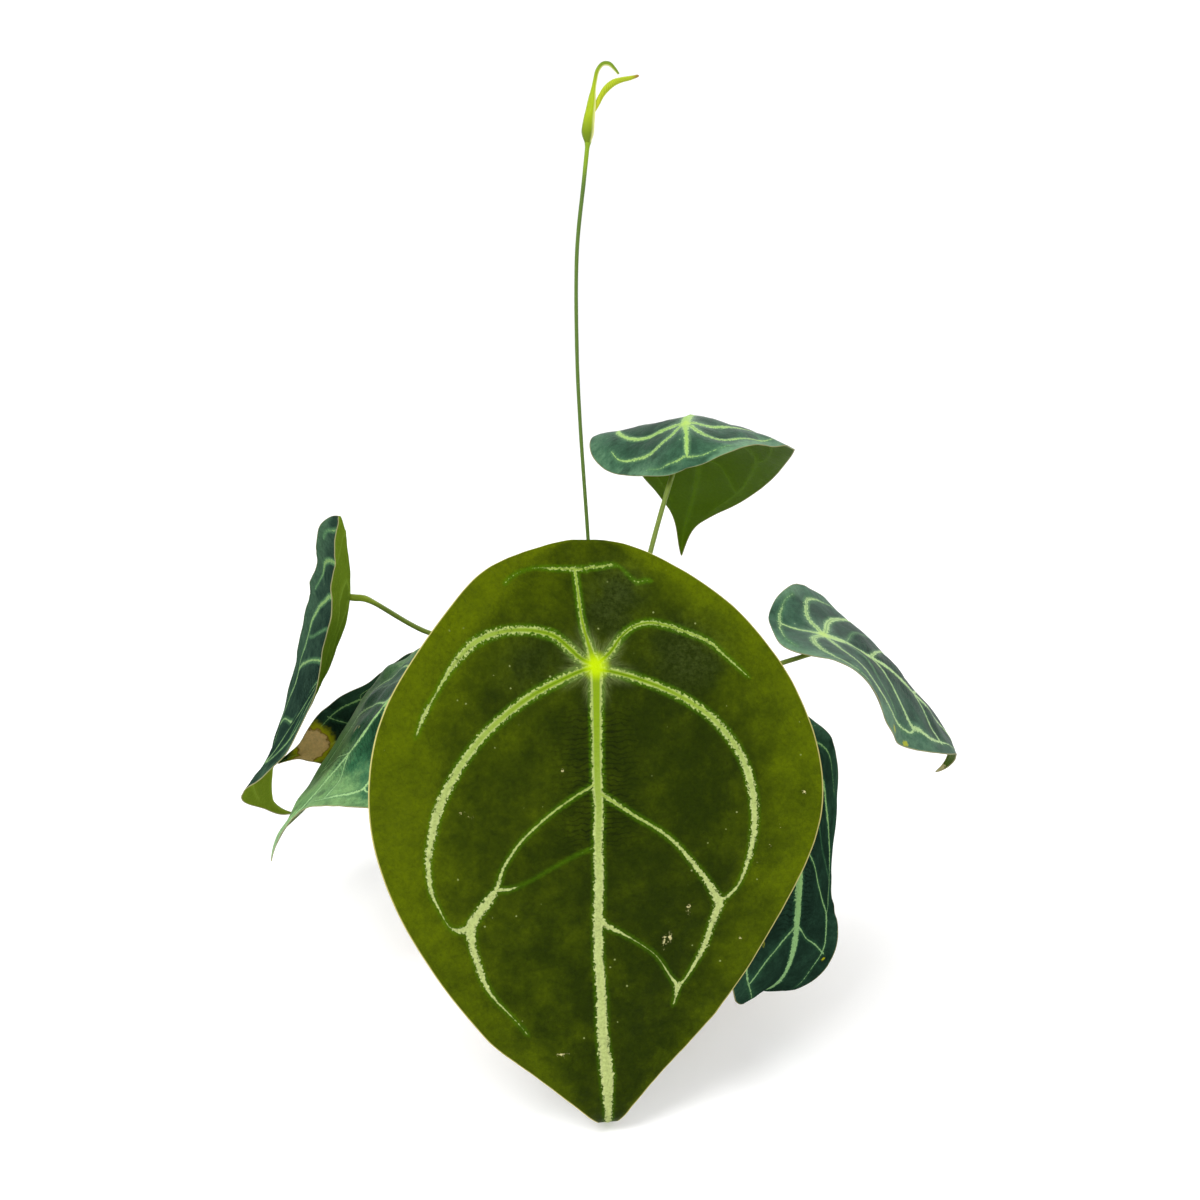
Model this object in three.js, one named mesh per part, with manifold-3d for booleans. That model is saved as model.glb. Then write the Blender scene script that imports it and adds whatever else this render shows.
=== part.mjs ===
// A potted anthurium: seven shield-shaped blades on long petioles and one flower stalk,
// growing from a short crown in a plain clay pot.
//
// Millimetres, +Z up. The origin is the centre of the pot's underside, -Y is the front.
// Each blade is laid out flat first, across and along its midrib, and then bent:
// a point keeps its distance along the midrib and along its cross section.

import * as THREE from 'three';
import { mergeVertices } from 'three/addons/utils/BufferGeometryUtils.js';
import Module from 'manifold-3d';

// Driving dimensions

const CLEARANCE = 0.3;

const POT = {
  height: 120, rimRadius: 68, rimHeight: 22, underRimRadius: 63.5, footRadius: 50,
  wall: 4.5, floor: 6, chamfer: 1.5, sides: 40,
  drainRadius: 4.5, drainCircle: 26, drainCount: 3, drainSides: 12,
};
const SOIL = { top: 106, lump: 1.1, levelTo: 12, lumpyFrom: 24, rings: 4, sides: 40, footInset: 2.5 };
const CROWN = {
  foot: 84, footRadius: 8.5, top: 137, topRadius: 4.5, radius: 11.5, shoulder: 10.4, scar: 0.7,
  collar: 1.1, collarLength: 8, sides: 20,
};
const ROOT = { radius: 1.9, tipRadius: 1.2, arch: 3.5, depth: 9, sides: 6, steps: 9 };

const BLADE = {
  thickness: 0.8, ribDepth: 1.3, ribHalfWidth: 2, heelShare: 0.2434, smallestHalfWidth: 0.6,
  firstAngle: 4, lastAngle: 177.5,
};
const PETIOLE = {
  baseRadius: 2.3, baseLength: 14, radius: 1.6, slimFrom: 45, kneeRadius: 2.2, kneeLength: 9,
  seatReach: 3.4, seatGap: 0.4, circle: 7, slope: 52, straight: 16, sides: 8, steps: 24,
};
const PEDUNCLE = {
  baseRadius: 1.8, baseLength: 15, radius: 1.25, slimFrom: 60, topRadius: 2.1, flare: 4,
  sides: 8, steps: 30,
};
const SPATHE = { thickness: 0.7, thickestShare: 0.85, along: 20, around: 12 };
const SPADIX = { sides: 10, steps: 18 };

const GREEN_DARK = { color: 0x2f4a1e, roughness: 0.42, metalness: 0 };
const GREEN_OLIVE = { color: 0x3f4c08, roughness: 0.42, metalness: 0 };
const GREEN_LIGHT = { color: 0x8fae4a, roughness: 0.5, metalness: 0 };
const GREEN_SPATHE = { color: 0x9cb81c, roughness: 0.5, metalness: 0 };
const YELLOW_GREEN = { color: 0xb2c233, roughness: 0.6, metalness: 0 };
const BROWN_CROWN = { color: 0x7a6a42, roughness: 0.85, metalness: 0 };
const BROWN_SOIL = { color: 0x35281e, roughness: 0.98, metalness: 0 };
const CLAY = { color: 0xb5694a, roughness: 0.85, metalness: 0 };

// Where along a blade its values are given, as shares of the length from the petiole
// to the tip. The heel lies behind the petiole, so its place is negative.

const BLADE_PLACES = [-BLADE.heelShare, 0, 0.4, 0.8, 1];
const SECTION_PLACES = [-BLADE.heelShare, 0, 0.4, 0.8];
const FOLDED_TIP_PLACES = [-BLADE.heelShare, 0, 0.4, 0.83, 0.91, 1];

// Outline of a blade: half width against a half ellipse's, every 20 degrees from heel to tip.

const OUTLINE = {
  left: [0.9, 1.05, 1.02, 1.08, 1, 0.82, 0.55, 0.2, 0.1, 0.08],
  right: [0.96, 0.91, 1.03, 1.08, 1.04, 0.84, 0.58, 0.2, 0.1, 0.08],
};
const OUTLINE_PLACES = OUTLINE.left.map((_, i, all) => (Math.PI * i) / (all.length - 1));

// heading, droop and roll aim the blade at its joint with the petiole: heading 0 points
// the tip at the front and 90 at the right, droop turns it down. bend, sway and twist
// turn the midrib further along the blade. rise and curl lift each half off the midrib.
// All are in degrees. stem says where the petiole leaves the crown and passes.

const LEAVES = [
  {
    name: 'front', length: 274, width: 230, rows: 26, columns: 14, finish: GREEN_OLIVE,
    joint: [-2, -149, 242], heading: 6, droop: 71, roll: -5,
    places: FOLDED_TIP_PLACES, bend: [-25, 0, 10, 20, 95, 130],
    sway: [0, 0, 0, 5, 5, 0], twist: [0, 0, 0, -5, -5, 0],
    left: { rise: [0, 10, 0, 0], curl: [0, 0, 0, 0] },
    right: { rise: [0, -5, 0, -10], curl: [0, 5, 0, 0] },
    stem: { azimuth: -92, height: 124, via: [[0, -24, 185], [-1, -66, 232], [-2, -104, 240]] },
  },
  {
    name: 'upper_right', length: 185, width: 144, rows: 20, columns: 12, finish: GREEN_DARK,
    joint: [54.6, 82, 332.6], heading: 170, droop: -15, roll: 0,
    places: BLADE_PLACES, bend: [-35, 0, 60, 80, 110],
    sway: [15, 0, 0, 15, 0], twist: [15, 0, 0, 0, 0],
    left: { rise: [-15, -10, -5, 0], curl: [-15, -10, -25, -15] },
    right: { rise: [-20, -30, 10, 0], curl: [-25, -20, -25, 0] },
    stem: { azimuth: 52, height: 129, via: [[17, 26, 195], [32, 46, 256], [46, 68, 300]] },
  },
  {
    name: 'left_upper', length: 210, width: 147, rows: 20, columns: 12, finish: GREEN_DARK,
    joint: [-154, 5, 237], heading: -105, droop: 80, roll: -25,
    places: BLADE_PLACES, bend: [25, 0, -20, 5, 65],
    sway: [0, 0, -20, -25, -40], twist: [15, 0, -5, -10, 0],
    left: { rise: [15, 20, 15, 10], curl: [0, -5, 5, -10] },
    right: { rise: [20, 5, 10, 15], curl: [25, 10, -15, 0] },
    stem: { azimuth: 180, height: 131, via: [[-40, 24, 186], [-78, 31, 202], [-107, 26, 208]] },
  },
  {
    name: 'left_spotted', length: 112, width: 103, rows: 20, columns: 12, finish: GREEN_DARK,
    joint: [-108, 29, 169.5], heading: -90, droop: 25, roll: -15,
    places: BLADE_PLACES, bend: [0, 0, 10, -15, 15],
    sway: [0, 0, 0, 10, -15], twist: [0, 0, 0, 10, 0],
    left: { rise: [0, 5, 5, 25], curl: [0, 0, 0, 0] },
    right: { rise: [0, 0, 15, 10], curl: [0, 0, 0, 0] },
    stem: { azimuth: 150, height: 122, via: [[-38, 24, 140], [-76, 30, 149]] },
  },
  {
    name: 'left_lower', length: 155, width: 143, rows: 20, columns: 12, finish: GREEN_DARK,
    joint: [-100.7, -42.5, 214], heading: -75, droop: 45, roll: 0,
    places: BLADE_PLACES, bend: [-5, 0, 10, 0, 35],
    sway: [0, 0, -10, 10, -10], twist: [0, 0, 0, -10, 5],
    left: { rise: [0, -15, -5, 5], curl: [0, 5, 0, 0] },
    right: { rise: [0, 0, -10, 5], curl: [0, 0, -10, 10] },
    stem: { azimuth: 218, height: 124, via: [[-30, -24, 165], [-62, -34, 190]] },
  },
  {
    name: 'right', length: 150, width: 129, rows: 20, columns: 12, finish: GREEN_DARK,
    joint: [136, -1, 214.5], heading: 95, droop: 20, roll: 15,
    places: BLADE_PLACES, bend: [0, 0, 25, 45, 130],
    sway: [0, 0, 0, 5, 0], twist: [-10, 0, 5, 0, 0],
    left: { rise: [0, 15, -5, 0], curl: [0, -5, -30, 0] },
    right: { rise: [20, 5, 5, -15], curl: [0, -10, -30, 0] },
    stem: { azimuth: 0, height: 130, via: [[42, 1, 166], [82, 0, 186], [110, 0, 196]] },
  },
  {
    name: 'right_lower', length: 180, width: 144, rows: 20, columns: 12, finish: GREEN_DARK,
    joint: [107.7, -82.5, 161.4], heading: 25, droop: 70, roll: -10,
    places: BLADE_PLACES, bend: [-35, 0, 0, 75, 125],
    sway: [-15, 0, -15, 10, 0], twist: [0, 0, 0, -5, 0],
    left: { rise: [0, 0, 0, 10], curl: [0, 0, 0, 0] },
    right: { rise: [-20, -10, -25, 5], curl: [10, -30, -15, 0] },
    stem: { azimuth: -42, height: 122, via: [[38, -22, 148], [72, -44, 162]] },
  },
];

const FLOWER_STALK = {
  azimuth: 105, circle: 2.5, height: 133,
  via: [[-3, 4, 200], [-7.2, 1, 275], [-11.7, 0, 345], [-13.3, 0, 385], [-13, 0, 441], [-9, 0, 479]],
  top: [-6.7, 0, 500],
};

// The spathe and the spadix lie in the plane Y = 0. x and z are from the top of the stalk,
// half is the half width there, and round is how far the spathe is rolled to each side.

const SPATHE_RUN = [
  { x: 0, z: 0.4, half: 2.0, round: 158 }, { x: 0, z: 4.6, half: 3.6, round: 158 },
  { x: 0.8, z: 11, half: 3.3, round: 150 }, { x: 1.7, z: 16.2, half: 2.9, round: 125 },
  { x: 2.5, z: 21.4, half: 2.4, round: 100 }, { x: 3.4, z: 27.7, half: 1.5, round: 85 },
  { x: 4.2, z: 32, half: 1.3, round: 80 }, { x: 5.6, z: 37, half: 1.3, round: 75 },
  { x: 8.4, z: 40.1, half: 1.3, round: 75 }, { x: 11.7, z: 40.1, half: 1.3, round: 70 },
  { x: 14.4, z: 37.8, half: 1.05, round: 65 }, { x: 16.9, z: 34.9, half: 0.7, round: 60 },
];
const SPADIX_RUN = [
  { x: 0.2, z: 0.4, half: 0.8 }, { x: 0.9, z: 8, half: 1.1 }, { x: 2.3, z: 14.5, half: 1.3 },
  { x: 5, z: 19.2, half: 1.4 }, { x: 7.4, z: 23.7, half: 1.5 }, { x: 10, z: 27.2, half: 1.8 },
  { x: 13.9, z: 30.3, half: 1.8 }, { x: 18.4, z: 31.9, half: 1.4 }, { x: 23.4, z: 32.9, half: 1.1 },
  { x: 28.2, z: 34.2, half: 0.6 },
];

const CROWN_ROOTS = [
  { azimuth: 20, height: 113, reach: 27 }, { azimuth: 98, height: 115, reach: 31 },
  { azimuth: 168, height: 112, reach: 25 }, { azimuth: 246, height: 114, reach: 30 },
  { azimuth: 312, height: 112, reach: 26 },
];

// Vectors, angles and smooth tables

const wasm = await Module();
wasm.setup();

const radians = THREE.MathUtils.degToRad;
const vector = (list) => new THREE.Vector3(...list);
const lerp = THREE.MathUtils.lerp;

// A smooth curve through values given at places, level past both ends.
function glide(places, values, at) {
  const last = places.length - 1;
  if (at <= places[0]) return values[0];
  if (at >= places[last]) return values[last];
  let i = 0;
  while (at > places[i + 1]) i += 1;
  const slope = (k) => {
    const before = Math.max(k - 1, 0);
    const after = Math.min(k + 1, last);
    return (values[after] - values[before]) / (places[after] - places[before]);
  };
  const step = places[i + 1] - places[i];
  const u = (at - places[i]) / step;
  const v = 1 - u;
  return values[i] * (1 + 2 * u) * v * v + slope(i) * step * u * v * v
    + values[i + 1] * u * u * (3 - 2 * u) - slope(i + 1) * step * u * u * v;
}

// Solids

function toSolid(geometry) {
  const bare = geometry.clone();
  bare.deleteAttribute('normal');
  bare.deleteAttribute('uv');
  const merged = mergeVertices(bare, 1e-4);
  return new wasm.Manifold(new wasm.Mesh({
    numProp: 3,
    vertProperties: new Float32Array(merged.attributes.position.array),
    triVerts: new Uint32Array(merged.index.array),
  }));
}

function toGeometry(solid) {
  const mesh = solid.getMesh();
  const geometry = new THREE.BufferGeometry();
  geometry.setAttribute('position', new THREE.BufferAttribute(new Float32Array(mesh.vertProperties), 3));
  geometry.setIndex(new THREE.BufferAttribute(new Uint32Array(mesh.triVerts), 1));
  return geometry;
}

const join = (solids) => solids.reduce((whole, solid) => whole.add(solid));
const cut = (solid, tools) => tools.reduce((whole, tool) => whole.subtract(tool), solid);

// A closed grid of points: rings of equal length, each joined to the next, with flat ends.
function closedRings(rings) {
  const count = rings[0].length;
  const positions = rings.flat().flatMap((p) => [p.x, p.y, p.z]);
  const faces = [];
  for (let r = 0; r + 1 < rings.length; r += 1) {
    for (let k = 0; k < count; k += 1) {
      const a = r * count + k;
      const b = r * count + (k + 1) % count;
      faces.push(a, b, b + count, a, b + count, a + count);
    }
  }
  for (let k = 1; k + 1 < count; k += 1) {
    const end = (rings.length - 1) * count;
    faces.push(0, k + 1, k, end, end + k, end + k + 1);
  }
  const geometry = new THREE.BufferGeometry();
  geometry.setAttribute('position', new THREE.BufferAttribute(new Float32Array(positions), 3));
  geometry.setIndex(faces);
  return geometry;
}

// A round stalk along a curve. radiusAt gives its radius from the share of the way along.
function stalk(curve, radiusAt, steps, sides) {
  const frames = curve.computeFrenetFrames(steps, false);
  const rings = [];
  for (let i = 0; i <= steps; i += 1) {
    const centre = curve.getPointAt(i / steps);
    const radius = radiusAt(i / steps);
    const ring = [];
    for (let k = 0; k < sides; k += 1) {
      const angle = (2 * Math.PI * k) / sides;
      ring.push(centre.clone()
        .addScaledVector(frames.normals[i], radius * Math.cos(angle))
        .addScaledVector(frames.binormals[i], radius * Math.sin(angle)));
    }
    rings.push(ring);
  }
  return closedRings(rings);
}

// A profile of [radius, height] points turned about the Z axis.
function turned(profile, sides) {
  const points = profile.map(([radius, height]) => new THREE.Vector2(radius, height));
  return new THREE.LatheGeometry(points, sides).rotateX(Math.PI / 2);
}

// Blades

// The straight frame at the joint: across to the right, towards the tip, and up.
function aim(leaf) {
  const heading = radians(leaf.heading);
  const droop = radians(leaf.droop);
  const roll = radians(leaf.roll);
  const tip = new THREE.Vector3(
    Math.sin(heading) * Math.cos(droop), -Math.cos(heading) * Math.cos(droop), -Math.sin(droop));
  const level = new THREE.Vector3(Math.cos(heading), Math.sin(heading), 0);
  const upright = tip.clone().cross(level);
  const across = level.multiplyScalar(Math.cos(roll)).addScaledVector(upright, Math.sin(roll));
  const up = tip.clone().cross(across);
  return { across, tip, up };
}

// The turn of the midrib's own frame at a place: bend about the cross axis, then sway, then twist.
function midribTurn(leaf, place) {
  const bend = radians(glide(leaf.places, leaf.bend, place));
  const sway = radians(glide(leaf.places, leaf.sway, place));
  const twist = radians(glide(leaf.places, leaf.twist, place));
  return new THREE.Matrix4().makeRotationX(bend)
    .multiply(new THREE.Matrix4().makeRotationZ(sway))
    .multiply(new THREE.Matrix4().makeRotationY(twist));
}

// The midrib as points in the joint's frame, found by walking it in short steps.
function midribPoints(leaf, steps = 120) {
  const forward = (place) => new THREE.Vector3(0, -1, 0).applyMatrix4(midribTurn(leaf, place));
  const span = 1 + BLADE.heelShare;
  const stride = (leaf.length * span) / steps;
  const points = [new THREE.Vector3()];
  for (let i = 0; i < steps; i += 1) {
    const middle = -BLADE.heelShare + (span * (i + 0.5)) / steps;
    points.push(points[i].clone().addScaledVector(forward(middle), stride));
  }
  const at = (place) => {
    const index = THREE.MathUtils.clamp(((place + BLADE.heelShare) / span) * steps, 0, steps);
    const low = Math.min(Math.floor(index), steps - 1);
    return points[low].clone().lerp(points[low + 1], index - low);
  };
  const joint = at(0);
  return (place) => at(place).sub(joint);
}

// Returns a function from a flat place, across and along in millimetres, to the bent blade.
function bentBlade(leaf) {
  const frame = aim(leaf);
  const midrib = midribPoints(leaf);
  const joint = vector(leaf.joint);
  return (across, along) => {
    const place = along / leaf.length;
    const side = across < 0 ? leaf.left : leaf.right;
    const start = radians(glide(SECTION_PLACES, side.rise, place));
    let curl = radians(glide(SECTION_PLACES, side.curl, place));
    if (Math.abs(curl) < 1e-4) curl = 1e-4;
    const reach = leaf.width / 2 / curl;
    const end = start + Math.abs(across) / reach;
    const sideways = (Math.sin(end) - Math.sin(start)) * reach * Math.sign(across);
    const lift = (Math.cos(start) - Math.cos(end)) * reach;
    const local = new THREE.Vector3(sideways, 0, lift)
      .applyMatrix4(midribTurn(leaf, place)).add(midrib(place));
    return joint.clone().addScaledVector(frame.across, local.x)
      .addScaledVector(frame.tip, -local.y).addScaledVector(frame.up, local.z);
  };
}

function halfWidth(leaf, side, angle) {
  const width = (leaf.width / 2) * Math.sin(angle) * glide(OUTLINE_PLACES, OUTLINE[side], angle);
  return Math.max(width, BLADE.smallestHalfWidth);
}

// The upward direction of a bent blade at a flat place.
function bladeUp(bent, across, along) {
  const probe = 0.5;
  const right = bent(across + probe, along).sub(bent(across - probe, along));
  const ahead = bent(across, along + probe).sub(bent(across, along - probe));
  return ahead.cross(right).normalize();
}

// Rows of upper and lower points, with the columns beside the midrib close to it.
// The midrib stands out of the underside, and runs out where the blade is narrow.
function bladeRows(leaf) {
  const bent = bentBlade(leaf);
  const heel = BLADE.heelShare * leaf.length;
  const half = leaf.columns / 2;
  const fullRibFrom = 4 * BLADE.ribHalfWidth;
  const ribShare = 0.3;
  const rows = [];
  for (let r = 0; r <= leaf.rows; r += 1) {
    const angle = radians(lerp(BLADE.firstAngle, BLADE.lastAngle, r / leaf.rows));
    const along = -heel + ((leaf.length + heel) * (1 - Math.cos(angle))) / 2;
    const row = [];
    for (let c = -half; c <= half; c += 1) {
      const width = halfWidth(leaf, c < 0 ? 'left' : 'right', angle);
      const rib = Math.min(BLADE.ribHalfWidth, ribShare * width);
      const outward = (Math.abs(c) - 1) / (half - 1);
      const across = c === 0 ? 0 : Math.sign(c) * lerp(rib, width, outward);
      const top = bent(across, along);
      const up = bladeUp(bent, across, along);
      const ridge = c === 0 ? BLADE.ribDepth * Math.min(1, width / fullRibFrom) : 0;
      row.push({ top, under: top.clone().addScaledVector(up, -BLADE.thickness - ridge) });
    }
    rows.push(row);
  }
  return rows;
}

function bladeGeometry(leaf) {
  const rows = bladeRows(leaf);
  const wide = leaf.columns + 1;
  const tops = rows.flat().map((p) => p.top);
  const unders = rows.flat().map((p) => p.under);
  const positions = [...tops, ...unders].flatMap((p) => [p.x, p.y, p.z]);
  const below = tops.length;
  const faces = [];
  for (let r = 0; r < leaf.rows; r += 1) {
    for (let c = 0; c < leaf.columns; c += 1) {
      const a = r * wide + c;
      const b = a + 1;
      const d = a + wide;
      const e = d + 1;
      faces.push(a, d, e, a, e, b);
      faces.push(below + a, below + e, below + d, below + a, below + b, below + e);
    }
  }
  const border = [];
  for (let c = 0; c < leaf.columns; c += 1) border.push(c);
  for (let r = 0; r < leaf.rows; r += 1) border.push(r * wide + leaf.columns);
  for (let c = leaf.columns; c > 0; c -= 1) border.push(leaf.rows * wide + c);
  for (let r = leaf.rows; r > 0; r -= 1) border.push(r * wide);
  border.forEach((a, i) => {
    const b = border[(i + 1) % border.length];
    faces.push(a, b, below + b, a, below + b, below + a);
  });
  const geometry = new THREE.BufferGeometry();
  geometry.setAttribute('position', new THREE.BufferAttribute(new Float32Array(positions), 3));
  geometry.setIndex(faces);
  return geometry;
}

// Petioles

// How far under the joint the petiole ends, so that its rim clears the underside and the rib.
function seatDepth(leaf) {
  const bent = bentBlade(leaf);
  const { up } = aim(leaf);
  const joint = vector(leaf.joint);
  const samples = 16;
  let lowest = 0;
  for (let k = 0; k < samples; k += 1) {
    const angle = (2 * Math.PI * k) / samples;
    const across = PETIOLE.seatReach * Math.cos(angle);
    const along = PETIOLE.seatReach * Math.sin(angle);
    const ridge = BLADE.ribDepth * Math.max(0, 1 - Math.abs(across) / BLADE.ribHalfWidth);
    const drop = joint.clone().sub(bent(across, along)).dot(up) + ridge;
    lowest = Math.max(lowest, drop);
  }
  return lowest + BLADE.thickness + PETIOLE.seatGap;
}

// Where a stem leaves the crown, and which way it sets off. Its slope is from the level.
function crownStart(azimuth, height, circle, slope) {
  const turn = radians(azimuth);
  const out = new THREE.Vector3(Math.cos(turn), Math.sin(turn), 0);
  const direction = out.clone().multiplyScalar(Math.cos(radians(slope))).setZ(Math.sin(radians(slope)));
  return { point: out.multiplyScalar(circle).setZ(height), direction };
}

const petioleStart = (leaf) => crownStart(
  leaf.stem.azimuth, leaf.stem.height, PETIOLE.circle, PETIOLE.slope);

function petioleCurve(leaf) {
  const start = petioleStart(leaf);
  const { up } = aim(leaf);
  const seat = vector(leaf.joint).addScaledVector(up, -seatDepth(leaf));
  return new THREE.CatmullRomCurve3([
    start.point,
    start.point.clone().addScaledVector(start.direction, PETIOLE.straight / 2),
    start.point.clone().addScaledVector(start.direction, PETIOLE.straight),
    ...leaf.stem.via.map(vector),
    seat.clone().addScaledVector(up, -PETIOLE.kneeLength),
    seat.clone().addScaledVector(up, -PETIOLE.kneeLength / 3),
    seat,
  ]);
}

// A petiole is thick at its base, slim between, and thick again at the knee under its blade.
function petioleRadius(length, at) {
  const fromTop = (1 - at) * length;
  const fromBase = at * length;
  const base = glide([0, PETIOLE.baseLength, PETIOLE.slimFrom],
    [PETIOLE.baseRadius, PETIOLE.baseRadius, PETIOLE.radius], fromBase);
  const knee = glide([0, PETIOLE.kneeLength, 2 * PETIOLE.kneeLength],
    [PETIOLE.kneeRadius, PETIOLE.kneeRadius, PETIOLE.radius], fromTop);
  return Math.max(base, knee);
}

function petioleGeometry(leaf) {
  const curve = petioleCurve(leaf);
  const length = curve.getLength();
  return stalk(curve, (at) => petioleRadius(length, at), PETIOLE.steps, PETIOLE.sides);
}

// A straight plug along the start of a stem, used for its socket in the crown.
function plugAlong(start, radius, from, to, sides) {
  const line = new THREE.LineCurve3(
    start.point.clone().addScaledVector(start.direction, from),
    start.point.clone().addScaledVector(start.direction, to));
  return toSolid(stalk(line, () => radius, 1, sides));
}

// Flower

const flowerStalkStart = () => crownStart(
  FLOWER_STALK.azimuth, FLOWER_STALK.height, FLOWER_STALK.circle, 90);

function peduncleGeometry() {
  const start = flowerStalkStart();
  const curve = new THREE.CatmullRomCurve3([
    start.point,
    start.point.clone().addScaledVector(start.direction, PEDUNCLE.baseLength),
    ...FLOWER_STALK.via.map(vector),
    vector(FLOWER_STALK.top),
  ]);
  const length = curve.getLength();
  const { baseRadius, baseLength, radius, slimFrom, topRadius, flare } = PEDUNCLE;
  const places = [0, baseLength, slimFrom, length - flare, length];
  const radii = [baseRadius, baseRadius, radius, radius, topRadius];
  const radiusAt = (at) => glide(places, radii, at * length);
  return stalk(curve, radiusAt, PEDUNCLE.steps, PEDUNCLE.sides);
}

function flowerCurve(run) {
  const top = vector(FLOWER_STALK.top);
  return new THREE.CatmullRomCurve3(run.map((p) => new THREE.Vector3(top.x + p.x, 0, top.z + p.z)));
}

const runPlaces = (run) => run.map((_, i) => i / (run.length - 1));

// Points round a curve in the plane Y = 0, from -round to +round degrees off its outer side.
function flowerRing(curve, at, radius, round, count) {
  const centre = curve.getPoint(at);
  const along = curve.getTangent(at);
  const outer = new THREE.Vector3(-along.z, 0, along.x);
  const across = new THREE.Vector3(0, -1, 0);
  const points = [];
  for (let k = 0; k < count; k += 1) {
    const angle = radians(lerp(-round, round, k / (count - 1)));
    points.push(centre.clone().addScaledVector(outer, radius * Math.cos(angle))
      .addScaledVector(across, radius * Math.sin(angle)));
  }
  return points;
}

function spadixGeometry() {
  const curve = flowerCurve(SPADIX_RUN);
  const places = runPlaces(SPADIX_RUN);
  const halves = SPADIX_RUN.map((p) => p.half);
  const rings = [];
  for (let i = 0; i <= SPADIX.steps; i += 1) {
    const at = i / SPADIX.steps;
    const closed = flowerRing(curve, at, glide(places, halves, at), 180, SPADIX.sides + 1);
    rings.push(closed.slice(0, SPADIX.sides));
  }
  return closedRings(rings);
}

// The spathe is a sheet rolled about the spadix: an outer arc and an inner one, joined at its edges.
function spatheGeometry() {
  const curve = flowerCurve(SPATHE_RUN);
  const places = runPlaces(SPATHE_RUN);
  const halves = SPATHE_RUN.map((p) => p.half);
  const rounds = SPATHE_RUN.map((p) => p.round);
  const rings = [];
  for (let i = 0; i <= SPATHE.along; i += 1) {
    const at = i / SPATHE.along;
    const half = glide(places, halves, at);
    const round = glide(places, rounds, at);
    const inner = half - Math.min(SPATHE.thickness, SPATHE.thickestShare * half);
    const outside = flowerRing(curve, at, half, round, SPATHE.around);
    const inside = flowerRing(curve, at, inner, round, SPATHE.around);
    rings.push([...outside, ...inside.reverse()]);
  }
  return closedStrip(rings);
}

// Like closedRings, but each end is a bent strip, so it is filled between its two arcs.
function closedStrip(rings) {
  const geometry = closedRings(rings);
  const count = rings[0].length;
  const sides = 6 * count * (rings.length - 1);
  const faces = Array.from(geometry.index.array.slice(0, sides));
  const end = (rings.length - 1) * count;
  for (let k = 0; k + 1 < count / 2; k += 1) {
    const far = count - 1 - k;
    faces.push(k, far, far - 1, k, far - 1, k + 1);
    faces.push(end + k, end + far - 1, end + far, end + k, end + k + 1, end + far - 1);
  }
  geometry.setIndex(faces);
  return geometry;
}

// Crown, roots, soil and pot

// A root leaves the crown, arches over the soil and goes down into it. extra makes its hole.
function rootCurve(root, extra) {
  const turn = radians(root.azimuth);
  const at = (radius, height) => new THREE.Vector3(
    radius * Math.cos(turn), radius * Math.sin(turn), height);
  return new THREE.CatmullRomCurve3([
    at(CROWN.topRadius, root.height - 2), at(CROWN.radius + 2, root.height + 1.5),
    at(root.reach - 5, SOIL.top + ROOT.arch), at(root.reach, SOIL.top - ROOT.depth - extra),
  ]);
}

function rootSolid(root, extra = 0) {
  const radiusAt = (at) => lerp(ROOT.radius, ROOT.tipRadius, at) + extra;
  return toSolid(stalk(rootCurve(root, extra), radiusAt, ROOT.steps, ROOT.sides));
}

// The crown's stem, with two ring-shaped leaf scars. extra makes its hole in the soil.
function crownCore(extra = 0) {
  const { foot, footRadius, top, topRadius, radius, shoulder, scar } = CROWN;
  const outline = [
    [footRadius, foot - extra], [radius, foot + 14],
    [radius, SOIL.top + 5], [radius - scar, SOIL.top + 6.5], [radius, SOIL.top + 8],
    [radius - scar, SOIL.top + 13], [shoulder - scar, SOIL.top + 14.5], [shoulder, SOIL.top + 16],
    [(shoulder + radius) / 2 - 2, top - 6], [topRadius, top - 1.5 + extra],
  ];
  const profile = [
    [0, foot - extra], ...outline.map(([r, height]) => [r + extra, height]), [0, top + extra],
  ];
  return toSolid(turned(profile, CROWN.sides));
}

// Each stem stands in its own socket, with a low collar round it.
function crownGeometry() {
  const collars = [];
  const sockets = [];
  const starts = LEAVES.map((leaf) => ({
    start: petioleStart(leaf), radius: PETIOLE.baseRadius, sides: PETIOLE.sides,
  }));
  starts.push({ start: flowerStalkStart(), radius: PEDUNCLE.baseRadius, sides: PEDUNCLE.sides });
  starts.forEach(({ start, radius, sides }) => {
    const bore = (radius + CLEARANCE) / Math.cos(Math.PI / sides);
    collars.push(plugAlong(start, bore + CROWN.collar, 0, CROWN.collarLength, sides));
    sockets.push(plugAlong(start, bore, -CLEARANCE, 3 * CROWN.collarLength, sides));
  });
  const whole = join([crownCore(), ...collars, ...CROWN_ROOTS.map((root) => rootSolid(root))]);
  return toGeometry(cut(whole, sockets));
}

function potOuterRadius(height) {
  return lerp(POT.footRadius, POT.underRimRadius, height / (POT.height - POT.rimHeight));
}

// The soil's surface is level round the crown and gently lumpy further out.
function soilHeight(x, y) {
  const lumpy = THREE.MathUtils.smoothstep(Math.hypot(x, y), SOIL.levelTo, SOIL.lumpyFrom);
  const broad = Math.sin(0.21 * x + 1.3) * Math.cos(0.17 * y - 0.4);
  const small = 0.5 * Math.sin(0.37 * x - 0.31 * y);
  return SOIL.top + SOIL.lump * lumpy * (broad + small);
}

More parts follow.
